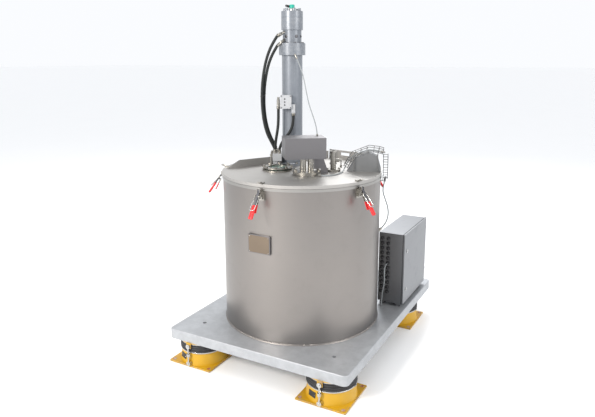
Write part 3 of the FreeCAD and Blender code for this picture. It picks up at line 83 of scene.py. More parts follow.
def spin(angle, axis):
    """A turn about an axis, in radians."""
    return Matrix.Rotation(angle, 4, axis)


FACING = spin(math.pi / 2, "X")          # turns a piece's top to the front
ACROSS = spin(-math.pi / 2, "X")         # lays a pin crosswise
SIDEWAYS = spin(math.pi / 2, "Y")        # turns a piece's top to the side


# ---------------- camera and studio
def in_scene(name, data):
    """A new object in the scene, made of this data."""
    made = bpy.data.objects.new(name, data)
    bpy.context.collection.objects.link(made)
    return made


def add_camera():
    """A camera in front and to the right, a little above the lid."""
    azimuth, pitch = math.radians(28.15), math.radians(11.49)
    level = math.cos(pitch)
    look = Vector((-math.sin(azimuth) * level, math.cos(azimuth) * level, -math.sin(pitch)))
    data = bpy.data.cameras.new("camera")
    data.lens, data.sensor_width = 34.62, 36.0
    data.shift_x, data.shift_y = -0.0074, -0.0527
    camera = in_scene("camera", data)
    camera.location = (2.036, -3.9825, 2.232)
    camera.rotation_euler = look.to_track_quat("-Z", "Y").to_euler()
    bpy.context.scene.camera = camera


def add_lamp(name, place, aim, size, watts, colour):
    """A round soft lamp at a place, aimed at a point."""
    data = bpy.data.lights.new(name, "AREA")
    data.shape, data.size, data.energy, data.color = "DISK", size, watts, colour
    lamp = in_scene(name, data)
    lamp.location = place
    lamp.rotation_euler = (Vector(aim) - Vector(place)).to_track_quat("-Z", "Y").to_euler()


def add_studio():
    """A pale backdrop, and lamps in front, at the side and behind."""
    world = bpy.data.worlds.new("studio")
    world.use_nodes = True
    backdrop = world.node_tree.nodes["Background"]
    backdrop.inputs["Color"].default_value = (0.96, 0.975, 1.0, 1)
    backdrop.inputs["Strength"].default_value = 1.0
    bpy.context.scene.world = world
    bpy.context.scene.view_settings.view_transform = "Standard"
    add_lamp("key_lamp", (-1.6, -6.0, 4.0), (0, 0, 0.9), 1.6, 380, (1.0, 0.95, 0.89))
    add_lamp("side_lamp", (6.0, -1.0, 4.0), (0, 0, 1.0), 3.0, 150, (1.0, 0.97, 0.93))
    add_lamp("back_lamp", (-1.5, 5.5, 5.5), (0, 0, 1.0), 3.0, 200, (1.0, 1.0, 1.0))


# ---------------- finishes
def arithmetic(operation, flipped=False):
    """A Python operator that adds the Math node of this kind."""
    def combine(self, other):
        return self.maths(operation, *((other, self) if flipped else (self, other)))
    return combine


class Field:
    """A value that varies over a surface; plain maths on it adds the Math nodes."""

    def __init__(self, finish, socket):
        self.finish, self.socket = finish, socket

    def maths(self, operation, *values):
        """One Math node on these values, which are fields or plain numbers."""
        return self.finish.node("Math", {"operation": operation}, dict(enumerate(values)))

    __add__, __radd__ = arithmetic("ADD"), arithmetic("ADD", True)
    __sub__, __rsub__ = arithmetic("SUBTRACT"), arithmetic("SUBTRACT", True)
    __mul__, __rmul__ = arithmetic("MULTIPLY"), arithmetic("MULTIPLY", True)
    __truediv__, __pow__ = arithmetic("DIVIDE"), arithmetic("POWER")

    def above(self, edge, width):
        """0 below the edge and 1 above it, turning smoothly over the width."""
        settings = {"interpolation_type": "SMOOTHSTEP"}
        return self.finish.node("MapRange", settings, {0: self, 1: edge - width / 2, 2: edge + width / 2})

    def near(self, place, width):
        """1 at the place, falling to 0 at half the width to either side."""
        return (1 - (self - place).maths("ABSOLUTE") / (width / 2)).maths("MAXIMUM", 0)


class Finish:
    """One material, its shader, and the maker of every other node in it."""

    def __init__(self, name, roughness, metallic=0.0, **sockets):
        self.material = bpy.data.materials.new(name)
        self.material.use_nodes = True
        self.tree = self.material.node_tree
        self.shader = self.tree.nodes["Principled BSDF"]
        self.set("Roughness", roughness)
        self.set("Metallic", metallic)
        for socket, value in sockets.items():
            self.set(socket.replace("_", " "), value)

    def join(self, socket, value):
        """Feeds a socket with a field, a colour or a number."""
        if isinstance(value, Field):
            self.tree.links.new(value.socket, socket)
        elif isinstance(value, (tuple, list)) and len(value) == 3 and len(socket.default_value) == 4:
            socket.default_value = (*value, 1)
        else:
            socket.default_value = value

    def set(self, socket, value):
        """The same for a socket of the shader, by its name."""
        self.join(self.shader.inputs[socket], value)

    def node(self, kind, settings, inputs, output=0):
        """A node of this kind, its settings first and then its sockets; gives one of its outputs."""
        made = self.tree.nodes.new("ShaderNode" + kind)
        for key, value in settings.items():
            setattr(made, key, value)
        for key, value in inputs.items():
            self.join(made.inputs[key], value)
        return Field(self, made.outputs[output])

    def place(self):
        """The place on the object."""
        return self.node("TexCoord", {}, {}, "Object")

    def parts(self):
        """The place on the object as three separate values."""
        split = self.node("SeparateXYZ", {}, {0: self.place()})
        return [Field(self, socket) for socket in split.socket.node.outputs]

    def vector(self, x, y, z):
        return self.node("CombineXYZ", {}, {0: x, 1: y, 2: z})

    def scaled(self, x, y, z):
        """The place on the object, stretched along each axis."""
        return self.node("VectorMath", {"operation": "MULTIPLY"}, {0: self.place(), 1: (x, y, z)})

    def round_place(self, centre, across, along):
        """Coordinates that run round an upright axis, scaled along the turn and along the height."""
        x, y, z = self.parts()
        x, y = x - centre.x, y - centre.y
        angle = y.maths("ARCTAN2", x)
        reach = (x * x + y * y) ** 0.5
        return self.vector(angle * across, reach * along, z * along)

    def noise(self, vector, scale=1.0, detail=3.0, rough=0.55):
        return self.node("TexNoise", {}, {"Vector": vector, "Scale": scale, "Detail": detail,
                                                    "Roughness": rough})

    def blend(self, mask, colour, other):
        """The first colour where the mask is 0, the other where it is 1."""
        return self.node("Mix", {"data_type": "RGBA"}, {0: mask, 6: colour, 7: other}, 2)

    def raise_by(self, height, distance, strength=1.0):
        """A relief this high on the surface."""
        normal = self.node("Bump", {}, {"Strength": strength, "Distance": distance, "Height": height})
        self.set("Normal", normal)

    def edges(self, start, end):
        """A mask of worn outer edges."""
        pointed = self.node("NewGeometry", {}, {}, "Pointiness")
        return self.node("MapRange", {}, {0: pointed, 1: start, 2: end})


def shade(colour, factor):
    """The colour made lighter or darker."""
    return tuple(min(1.0, part * factor) for part in colour)


def brushed(name, colour, roughness, lines, spread=0.10, mark=0.00004):
    """Ground stainless steel: long fine lines, broad clouding and faint handling marks."""
    finish = Finish(name, roughness, 1.0)
    fine = finish.noise(lines(finish), 1.0, 4.0, 0.7)
    cloud = finish.noise(finish.place(), 2.3, 3.0)
    marks = finish.noise(finish.place(), 9.0, 5.0, 0.7).above(0.62, 0.2)
    tone = finish.blend(fine, shade(colour, 1 - spread), shade(colour, 1 + spread))
    tone = finish.blend(cloud.above(0.5, 0.5) * 0.35, tone, shade(colour, 0.88))
    finish.set("Base Color", finish.blend(marks * 0.12, tone, shade(colour, 0.8)))
    finish.set("Roughness", roughness - 0.05 + 0.12 * fine + 0.05 * marks)
    finish.raise_by(fine, mark)
    return finish


def round_lines(centre, across, along):
    """Grinding lines that run round an upright axis."""
    return lambda finish: finish.round_place(centre, across, along)


def straight_lines(x, y, z):
    """Grinding lines along the axes with the small numbers."""
    return lambda finish: finish.scaled(x, y, z)


def painted(name, colour, roughness, wear=(0.45, 0.45, 0.45), chips=0.0, peel=0.00006, metallic=0.0):
    """Paint with a slight orange peel, a cloudy tone, rougher specks and bare metal where the edges are worn."""
    finish = Finish(name, roughness, metallic, Coat_Weight=0.15, Coat_Roughness=0.25)
    skin = finish.noise(finish.place(), 260.0, 2.0)
    cloud = finish.noise(finish.place(), 5.0, 4.0)
    specks = finish.noise(finish.place(), 45.0, 5.0, 0.75)
    tone = finish.blend(cloud.above(0.5, 0.4), shade(colour, 0.93), shade(colour, 1.05))
    worn = finish.edges(0.53, 0.60) * specks.above(0.5, 0.1) * chips
    finish.set("Base Color", finish.blend(worn, tone, wear))
    finish.set("Roughness", roughness + 0.10 * (cloud - 0.5) + 0.10 * specks)
    finish.raise_by(skin, peel)
    return finish


def polished(name, colour, roughness):
    """Plated or polished steel with faint smears."""
    finish = Finish(name, roughness, 1.0)
    smear = finish.noise(finish.place(), 30.0, 4.0, 0.7)
    finish.set("Base Color", finish.blend(smear, shade(colour, 0.9), shade(colour, 1.06)))
    finish.set("Roughness", roughness + 0.14 * smear.above(0.5, 0.4))
    finish.raise_by(smear, 0.00003)
    return finish


def rubber(name, colour, roughness=0.55):
    """Moulded rubber with a grey bloom."""
    finish = Finish(name, roughness, 0.0)
    bloom = finish.noise(finish.place(), 22.0, 5.0, 0.65)
    grain = finish.noise(finish.place(), 600.0, 2.0)
    finish.set("Base Color", finish.blend(bloom.above(0.55, 0.3), colour, shade(colour, 1.9)))
    finish.set("Roughness", roughness + 0.18 * bloom)
    finish.raise_by(grain, 0.00008)
    return finish


def moulded(name, colour, roughness=0.35):
    """Moulded plastic with a fine texture."""
    finish = Finish(name, roughness, 0.0)
    grain = finish.noise(finish.place(), 420.0, 2.0)
    cloud = finish.noise(finish.place(), 12.0, 3.0)
    finish.set("Base Color", finish.blend(cloud, shade(colour, 0.9), shade(colour, 1.08)))
    finish.set("Roughness", roughness + 0.12 * cloud)
    finish.raise_by(grain, 0.00005)
    return finish


def casing_steel():
    """The rolled wall: lines round it, a faint darker seam band, and painted shade that darkens the wall just above
    its foot.
    """
    colour = (0.295, 0.277, 0.265)
    finish = brushed("casing_steel", colour, 0.36, round_lines(AXIS, 4.0, 300.0), 0.07, 0.00003)
    height = finish.parts()[2] - DECK
    # A dark seam line at 105 mm, plus painted shade on the lowest few centimetres, where the wall meets the base
    # plate.
    seam_and_foot_shade = height.near(0.105, 0.008) + 0.6 * height.near(0.012, 0.03)
    heat = height.near(0.09, 0.12) * finish.noise(finish.round_place(AXIS, 1.2, 6.0), 1.0)
    base = Field(finish, finish.shader.inputs["Base Color"].links[0].from_socket)
    tone = finish.blend(seam_and_foot_shade * 0.35, base, shade(colour, 0.6))
    finish.set("Base Color", finish.blend(heat * 0.3, tone, (0.30, 0.27, 0.24)))
    return finish


def deck_metal():
    """The thick base plate: blasted, light grey, with a soft mottle and scuffs."""
    colour = (0.40, 0.415, 0.435)
    finish = Finish("deck_metal", 0.42, 0.55)
    mottle = finish.noise(finish.place(), 14.0, 6.0, 0.7)
    grain = finish.noise(finish.place(), 320.0, 3.0)
    scuffs = finish.noise(finish.scaled(3.0, 24.0, 8.0), 1.5, 5.0, 0.75).above(0.63, 0.12)
    tone = finish.blend(mottle.above(0.5, 0.35), shade(colour, 0.93), shade(colour, 1.08))
    finish.set("Base Color", finish.blend(scuffs * 0.3, tone, (0.53, 0.54, 0.55)))
    finish.set("Roughness", 0.36 + 0.16 * mottle + 0.06 * grain)
    finish.raise_by(grain + 0.5 * mottle, 0.00012)
    return finish


def cast_metal(name, colour, roughness=0.55):
    """Cast or forged metal with a lumpy skin."""
    finish = Finish(name, roughness, 0.7)
    lumps = finish.noise(finish.place(), 90.0, 4.0, 0.6)
    cloud = finish.noise(finish.place(), 6.0, 3.0)
    finish.set("Base Color", finish.blend(cloud, shade(colour, 0.85), shade(colour, 1.12)))
    finish.set("Roughness", roughness - 0.05 + 0.15 * lumps)
    finish.raise_by(lumps, 0.0003)
    return finish


def green_glass():
    """The sight glass's thick pane, with a slight haze."""
    finish = Finish("green_glass", 0.06, 0.0, Transmission_Weight=0.55, IOR=1.5)
    haze = finish.noise(finish.place(), 18.0, 4.0)
    finish.set("Base Color", finish.blend(haze, (0.16, 0.30, 0.24), (0.24, 0.40, 0.33)))
    finish.set("Roughness", 0.04 + 0.10 * haze)
    return finish


CASING = casing_steel()
DECKING = deck_metal()
LID_STEEL = brushed("lid_steel", (0.42, 0.41, 0.395), 0.55, straight_lines(9.0, 420.0, 9.0), 0.05, 0.00002)
RING_STEEL = brushed("ring_steel", (0.36, 0.35, 0.335), 0.34, round_lines(AXIS, 5.0, 500.0), 0.06, 0.00002)
CABINET = brushed("cabinet_steel", (0.225, 0.232, 0.245), 0.34, straight_lines(500.0, 5.0, 420.0), 0.07, 0.00002)
BOX_SHEET = brushed("box_sheet", (0.205, 0.20, 0.207), 0.46, straight_lines(120.0, 120.0, 160.0), 0.05, 0.00003)
HOOD = brushed("hood_sheet", (0.23, 0.235, 0.24), 0.5, straight_lines(90.0, 90.0, 120.0), 0.05, 0.00003)
INNER_STEEL = brushed("inner_steel", (0.42, 0.42, 0.42), 0.4, straight_lines(60.0, 60.0, 200.0))
COLUMN_PAINT = painted("column_paint", (0.190, 0.208, 0.236), 0.30, chips=0.15, metallic=0.35)
BLOCK_PAINT = painted("block_paint", (0.42, 0.435, 0.455), 0.36, chips=0.4, metallic=0.2)
YELLOW = painted("isolator_yellow", (0.54, 0.305, 0.006), 0.40, (0.30, 0.20, 0.10), 0.9)
GUARD_PAINT = painted("guard_paint", (0.45, 0.46, 0.47), 0.42, chips=0.5)
MOTOR_PAINT = painted("motor_paint", (0.085, 0.13, 0.20), 0.40, chips=0.12)
RUST_RED = painted("rust_red", (0.36, 0.10, 0.04), 0.6, chips=0.8)
CAST = cast_metal("cast_grey", (0.16, 0.17, 0.18))
SPRING = cast_metal("spring_steel", (0.12, 0.12, 0.13), 0.4)
BRIGHT = polished("bright_steel", (0.50, 0.50, 0.49), 0.16)
PLATED = polished("plated_steel", (0.37, 0.355, 0.325), 0.22)
WIRE = polished("wire_steel", (0.20, 0.20, 0.20), 0.30)
DARK_STEEL = polished("dark_steel", (0.12, 0.12, 0.13), 0.34)
RUBBER = rubber("black_rubber", (0.018, 0.018, 0.020), 0.5)
SEAL = rubber("seal_white", (0.62, 0.60, 0.55))
HOSE = rubber("hose_black", (0.004, 0.006, 0.006), 0.58)
CABLE = moulded("cable_grey", (0.26, 0.28, 0.29), 0.42)
BLACK = moulded("gland_black", (0.016, 0.016, 0.018), 0.38)
RED = moulded("grip_red", (0.66, 0.016, 0.018), 0.30)
GREEN = moulded("sensor_green", (0.0, 0.36, 0.27), 0.35)
TAG = painted("blank_tag", (0.16, 0.122, 0.086), 0.42, metallic=0.4)
GLASS = green_glass()


def dress(piece, finish):
    """Gives every material slot of the piece this finish."""
    if not piece.material_slots:
        piece.data.materials.append(finish.material)
    for place in piece.material_slots:
        place.material = finish.material


def smooth(piece, degrees=35.0):
    """Shades the piece smooth but for its edges over this angle."""
    piece.data.shade_smooth()
    piece.data.set_sharp_from_angle(angle=math.radians(degrees))


def round_edges(piece, width, degrees, even=False):
    """Rounds the edges over this angle; even keeps the flat faces' shading."""
    bevel = piece.modifiers.new("edge", "BEVEL")
    bevel.width, bevel.segments, bevel.limit_method = width, 2, "ANGLE"
    bevel.angle_limit = math.radians(degrees)
    bevel.harden_normals = even


def keep(node, finish, edge=0.0):
    """Dresses a CAD node; edge rounds its sharp edges a little."""
    piece = frame["nodes"][node]
    dress(piece, finish)
    smooth(piece)
    if edge:
        round_edges(piece, edge, 50, True)


def outward(turn):
    """The level direction at this angle round an upright axis."""
    return Vector((math.cos(turn), math.sin(turn), 0))


# ---------------- cords
def column_point(u, w, z):
    """A point near the column: u to its right, w forward of it, z above the lid."""
    right, ahead = math.cos(COLUMN_TURN), math.sin(COLUMN_TURN)
    across, forward = Vector((right, ahead, 0)), Vector((ahead, -right, 0))
    return COLUMN + across * (u * MM) + forward * (w * MM) + UP * (LID_TOP + z * MM)


def side_point(r, z):
    """A point in the upright plane of the cable trays."""
    return AXIS + outward(TRAY_TURN) * (r * MM) + UP * (DECK + z * MM)


def lid_point(x, y, z):
    """A point measured from the casing's axis and the lid's top."""
    return AXIS + Vector((x, y, z)) * MM + UP * LID_TOP


def deck_point(x, y, z):
    """A point measured from the casing's axis and the base plate's top."""
    return AXIS + Vector((x, y, z)) * MM + UP * DECK


# Each cord: where its points are measured, its diameter and length, its body, and its points in millimetres.
CORDS = {
    "hose_upper": (column_point, 0.022, 0.910, "lid", [
        (-112, 70, 1000), (-152, 68, 940), (-188, 62, 858), (-214, 52, 762), (-231, 42, 655), (-238, 34, 545),
        (-235, 30, 434), (-223, 32, 339), (-200, 38, 250), (-166, 46, 185), (-140, 50, 134)]),
    "hose_lower": (column_point, 0.022, 0.830, "lid", [
        (-112, 66, 928), (-148, 60, 872), (-184, 46, 785), (-207, 30, 682), (-220, 14, 575), (-223, 2, 471),
        (-216, -4, 380), (-199, -4, 292), (-171, 2, 215), (-145, 10, 168), (-130, 15, 134)]),
    "hose_left": (column_point, 0.022, 0.318, "lid", [
        (-106, 102, 449), (-106, 102, 398), (-108, 101, 340), (-114, 98, 284), (-124, 93, 230), (-132, 87, 180),
        (-134, 82, 134)]),
    "hose_right": (column_point, 0.022, 0.294, "lid", [
        (10, 104, 398), (8, 105, 338), (-12, 107, 280), (-51, 108, 228), (-86, 102, 182), (-101, 94, 134)]),
    "sensor_cable": (column_point, 0.008, 0.650, "lid", [
        (38, 100, 830), (62, 104, 775), (85, 108, 705), (101, 125, 630), (114, 155, 560), (129, 190, 494),
        (149, 230, 437), (168, 275, 385), (181, 325, 342), (186, 358, 315), (188, 376, 290)]),
    "side_cable": (side_point, 0.010, 0.386, "root", [
        (630, 1078), (621, 1035), (621, 992), (638, 945), (658, 890), (667, 832), (658, 778), (638, 738),
        (616, 712)]),
    "lid_cable": (lid_point, 0.008, 0.627, "lid", [
        (256, -189, 9), (288, -164, 4.4), (314, -126, 4.4), (330, -82, 4.6), (336, -36, 4.4), (332, 4, 4.6),
        (326, 42, 8), (322, 76, 22), (328, 98, 52), (348, 104, 88), (382, 115, 122), (428, 131, 146),
        (486, 152, 166), (534, 169, 164), (568, 181, 156)]),
    "cabinet_cable": (deck_point, 0.008, 0.407, "root", [
        (570, 391, 364), (570, 364, 364), (571, 340, 349), (572, 327, 323), (574, 326, 292), (574, 330, 254),
        (568, 340, 210), (560, 344, 165), (552, 350, 122), (545, 360, 80), (540, 370, 40), (538, 374, 6)]),
}


def route_of(node):
    """The control points of a cord."""
    at, route = CORDS[node][0], CORDS[node][-1]
    return [at(*step) for step in route]


def soft_line(name, points, diameter):
    """A smooth round line with these control points."""
    curve = bpy.data.curves.new(name, "CURVE")
    curve.dimensions = "3D"
    curve.bevel_depth, curve.bevel_resolution, curve.use_fill_caps = diameter / 2, 6, True
    curve.resolution_u = 10
    spline = curve.splines.new("NURBS")
    spline.points.add(len(points) - 1)
    for held, point in zip(spline.points, points):
        held.co = (*point, 1)
    spline.order_u = 3
    spline.use_endpoint_u = True
    return in_scene(name, curve)


def make_cords():
    """The hoses and cables, each along its own route."""
    for node, (_, diameter, length, body, _) in CORDS.items():
        points = route_of(node)
        hose = node.startswith("hose")
        line = soft_line(node + "_line", points, diameter)
        dress(line, HOSE if hose else CABLE)
        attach(line, body)
        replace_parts(line, node)
        tuple(points[0])


add_camera()
make_cords()
add_studio()


# ---------------- making solid pieces
class Form:
    """Corners and faces of one piece, grown from simple turned and cut shapes."""

    def __init__(self):
        self.corners, self.faces, self.finishes, self.finish_of = [], [], [], []

    def add(self, corners, faces, finish, place=Matrix()):
        """More corners and faces, moved to the place."""
        if finish not in self.finishes:
            self.finishes.append(finish)
        start = len(self.corners)
        self.corners += [place @ Vector(corner) for corner in corners]
        self.faces += [[start + i for i in face] for face in faces]
        self.finish_of += [self.finishes.index(finish)] * len(faces)

    def turned(self, profile, finish, place=Matrix(), sides=32, ring=False, square=1.0):
        """A profile of radius and height pairs turned about Z; a ring is closed, the rest is capped.

        A square under 1 fills the corners, for a flattened grip."""
        corners, faces = [], []
        rows = len(profile)
        for i in range(sides):
            angle = math.tau * i / sides
            x, y = math.cos(angle), math.sin(angle)
            x, y = math.copysign(abs(x) ** square, x), math.copysign(abs(y) ** square, y)
            corners += [(r * x, r * y, z) for r, z in profile]
        for i in range(sides):
            here, there = i * rows, (i + 1) % sides * rows
            for j in range(rows if ring else rows - 1):
                k = (j + 1) % rows
                faces.append((here + j, there + j, there + k, here + k))
        if not ring:
            faces.append([i * rows for i in reversed(range(sides))])
            faces.append([i * rows + rows - 1 for i in range(sides)])
        self.add(corners, faces, finish, place)

    def slab(self, outline, low, high, finish, place=Matrix()):
        """An outline in X and Y, raised from low to high."""
        count = len(outline)
        corners = [(x, y, low) for x, y in outline] + [(x, y, high) for x, y in outline]
        faces = [(i, (i + 1) % count, (i + 1) % count + count, i + count) for i in range(count)]
        faces += [list(reversed(range(count))), list(range(count, 2 * count))]
        self.add(corners, faces, finish, place)

    def brick(self, low, high, finish, place=Matrix()):
        """A box between two opposite corners."""
        outline = [(low[0], low[1]), (high[0], low[1]), (high[0], high[1]), (low[0], high[1])]
        self.slab(outline, low[2], high[2], finish, place)

    def wire(self, points, radius, finish, place=Matrix(), sides=12, closed=False):
        """A round wire through the points, mitred where it turns."""
        points = [Vector(point) for point in points]
        count = len(points)
        corners, faces = [], []
        side = None
        for i, point in enumerate(points):
            before = points[i - 1] if i or closed else point
            after = points[(i + 1) % count] if i + 1 < count or closed else point
            along = (after - before).normalized()
            if side is None:
                side = along.orthogonal().normalized()
            side = (side - along * side.dot(along)).normalized()
            other = along.cross(side)
            for j in range(sides):
                angle = math.tau * j / sides
                corners.append(point + (side * math.cos(angle) + other * math.sin(angle)) * radius)
        for i in range(count if closed else count - 1):
            here, there = i * sides, (i + 1) % count * sides
            for j in range(sides):
                k = (j + 1) % sides
                faces.append((here + j, here + k, there + k, there + j))
        if not closed:
            faces.append(list(reversed(range(sides))))
            faces.append([(count - 1) * sides + j for j in range(sides)])
        self.add(corners, faces, finish, place)

    def done(self, name, body, slot, edge=0.0, angle=35.0):
        """The finished piece, riding on its body; edge rounds its sharp edges a little."""
        mesh = bpy.data.meshes.new(name)
        mesh.from_pydata(self.corners, [], self.faces)
        for finish in self.finishes:
            mesh.materials.append(finish.material)
        mesh.polygons.foreach_set("material_index", self.finish_of)
        mesh.validate()
        piece = in_scene(name, mesh)
        smooth(piece, angle)
        if edge:
            round_edges(piece, edge, 40)
        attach(piece, body)
        return piece


def towards(at, direction, twist=0.0):
    """A place whose Z points in the direction, turned about it by twist degrees."""
    turn = Vector(direction).normalized().to_track_quat("Z", "Y").to_matrix().to_4x4()
    return shift(*at) @ turn @ spin(math.radians(twist), "Z")


def islands(node):
    """The boxes of the separate solids in a CAD node, as (lowest, highest) corners."""
    mesh = frame["nodes"][node].data
    home, parent = {}, list(range(len(mesh.vertices)))

    def root(i):
        while parent[i] != i:
            parent[i] = parent[parent[i]]
            i = parent[i]
        return i

    for vertex in mesh.vertices:
        key = tuple(round(c, 6) for c in vertex.co)
        parent[vertex.index] = home.setdefault(key, vertex.index)
    for face in mesh.polygons:
        first = root(face.vertices[0])
        for i in face.vertices[1:]:
            parent[root(i)] = first
    groups = {}
    for vertex in mesh.vertices:
        groups.setdefault(root(vertex.index), []).append(vertex.co)
    boxes = [[Vector([pick(c[i] for c in group) for i in range(3)]) for pick in (min, max)]
             for group in groups.values()]
    return sorted(boxes, key=lambda b: tuple(round(c, 4) for c in b[0] + b[1]))


# ---------------- CAD nodes that stay
KEPT = {                                 # finish, and how far the sharp edges are rounded
    "base_plate": (DECKING, 0.003), "iso_plates": (YELLOW, 0.0012), "iso_springs": (SPRING, 0),
    "iso_tie_rods": (BRIGHT, 0.0006), "bearing_spider": (CAST, 0.003), "drive_belt": (RUBBER, 0),
    "belt_guard": (GUARD_PAINT, 0.001), "motor_frame": (MOTOR_PAINT, 0.003), "casing_shell": (CASING, 0),
    "casing_floor": (INNER_STEEL, 0), "casing_ring": (RING_STEEL, 0.001), "lid_seal": (SEAL, 0),
    "casing_brackets": (PLATED, 0.0006), "casing_tray": (WIRE, 0), "cabinet_body": (CABINET, 0.0012),
    "lid_plate": (LID_STEEL, 0.0012), "lid_catches": (PLATED, 0.0006), "lid_nozzles": (PLATED, 0.001),
    "instrument_box": (BOX_SHEET, 0.0015), "column_tube": (COLUMN_PAINT, 0.001),
    "column_head": (COLUMN_PAINT, 0.0012), "valve_block": (BLOCK_PAINT, 0.0015),
    "scraper_piston": (SPRING, 0), "scraper_shaft": (BRIGHT, 0), "scraper_knife": (INNER_STEEL, 0.001),
    "basket": (INNER_STEEL, 0.001), "basket_spindle": (SPRING, 0.001), "motor_shaft": (SPRING, 0.001),
    "cabinet_door": (CABINET, 0.0015), "sight_pane": (GLASS, 0), "sight_wiper": (PLATED, 0.0006),
    "wash_handle": (PLATED, 0.0006), "door_lock_upper": (BRIGHT, 0.0006), "door_lock_lower": (BRIGHT, 0.0006),
}
for node, (finish, edge) in KEPT.items():
    keep(node, finish, edge)


# ---------------- nuts, glands and beads
def nut_profile(across, height, chamfer=0.12):
    """A hexagon's corners, from its size over the flats, with both ends chamfered."""
    r = across / math.sqrt(3)
    return [(r * 0.90, 0), (r, height * chamfer), (r, height * (1 - chamfer)), (r * 0.84, height)]


def socket_screw(form, place, finish, sides, radii, heights):
    """A screw's head: radii of its rim, chamfer and socket; heights of its foot, rim, top and socket's floor."""
    (r, chamfer, socket), (foot, rim_top, top, floor) = radii, heights
    form.turned([(r, foot), (r, rim_top), (chamfer, top), (socket, top), (socket, floor), (0.0001, floor)], finish,
                place, sides)


def add_nut(form, place, across, height, finish, stud=0.35):
    """A washer, a chamfered hexagon and the rounded end of its stud."""
    washer = across * 0.62
    form.turned([(washer, 0), (washer, height * 0.16), (washer * 0.95, height * 0.2)], finish, place, 24)
    form.turned([(r, z * 0.8 + height * 0.2) for r, z in nut_profile(across, height)], finish, place, 6)
    if stud:
        r, top = across * 0.29, height * (1 + stud)
        form.turned([(r, height * 0.9), (r, top - r * 0.4), (r * 0.6, top)], finish, place, 16)


def lid_nuts():
    """Every nut on the lid's flanges, and the cap screws in the column's crown."""
    form = Form()
    turn = random.Random(7)
    for low, high in islands("lid_fasteners"):
        centre = (low + high) / 2
        size = min(high.x - low.x, high.y - low.y)
        place = shift(centre.x, centre.y, low.z) @ spin(turn.uniform(0, 1), "Z")
        height = high.z - low.z
        if low.z < CROWN - 0.002:
            add_nut(form, place, size * 0.96, height * 0.84, PLATED, 0.17)
            continue
        r = size * 0.44
        form.turned([(r, 0), (r, height * 0.9), (r * 0.92, height), (r * 0.55, height), (r * 0.55, height * 0.55),
                     (0.0001, height * 0.5)], COLUMN_PAINT, place, 24)
    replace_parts(form.done("lid_nuts", "lid", "fitting_steel"), "lid_fasteners")


def gland_row():
    """Cable glands: a hexagon, a ribbed dome nut and the seal in its mouth."""
    form = Form()
    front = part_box("cabinet_body")[0].y
    for low, high in islands("cable_glands"):
        centre = (low + high) / 2
        if abs(high.y - front) > 0.004:
            *_, before, end = route_of("side_cable")
            start = end + (end - before).normalized() * 0.030
            place = towards(start, end - start)
            form.turned([(0.0085, 0), (0.010, 0.008), (0.010, 0.026), (0.007, 0.031)], PLATED, place, 24)
            continue
        place = towards((centre.x, high.y, centre.z), (0, -1, 0), 30)
        form.turned(nut_profile(0.029, 0.009), BLACK, place, 6)
        dome = [(0.0108, 0.009), (0.0108, 0.016), (0.0098, 0.021), (0.0072, 0.0235), (0.0055, 0.0238),
                (0.0052, 0.020), (0.0001, 0.0195)]
        form.turned(dome, BLACK, place, 28)
        for k in range(14):
            rib = place @ spin(math.tau * k / 14, "Z")
            form.brick((0.0100, -0.0009, 0.0095), (0.0114, 0.0009, 0.0155), BLACK, rib)
    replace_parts(form.done("gland_row", "root", "gland_black"), "cable_glands")


def bead(form, centre, radius, size, finish, pitch=0.007):
    """A rippled weld bead laid round a circle."""
    steps = int(math.tau * radius / pitch * 2)
    corners, faces, sides = [], [], 6
    root = radius - 0.0006
    wobble = random.Random(int(radius * 1e5))
    for i in range(steps):
        angle = math.tau * i / steps
        grow = size * (1 + (0.10 if i % 2 else -0.10) + wobble.uniform(-0.06, 0.06))
        for j in range(sides):
            tilt = math.pi / 2 * j / (sides - 1)
            r = radius - 0.0004 + grow * math.cos(tilt)
            corners.append((r * math.cos(angle), r * math.sin(angle), grow * math.sin(tilt) - 0.0002))
        corners.append((root * math.cos(angle), root * math.sin(angle), -0.0002))
    rows = sides + 1
    for i in range(steps):
        here, there = i * rows, (i + 1) % steps * rows
        for j in range(rows):
            k = (j + 1) % rows
            faces.append((here + j, there + j, there + k, here + k))
    form.add(corners, faces, finish, shift(*centre))


def weld_beads():
    """The beads where the casing meets the base plate and the column meets its flange."""
    form = Form()
    bead(form, AXIS + UP * (DECK + 0.0065), CASE_R, 0.0055, CASING)
    form.done("foot_weld", "root", "brushed_casing")
    form = Form()
    bead(form, COLUMN + UP * (LID_TOP + 0.018), TUBE_R, 0.007, COLUMN_PAINT)
    form.done("column_weld", "lid", "column_grey")


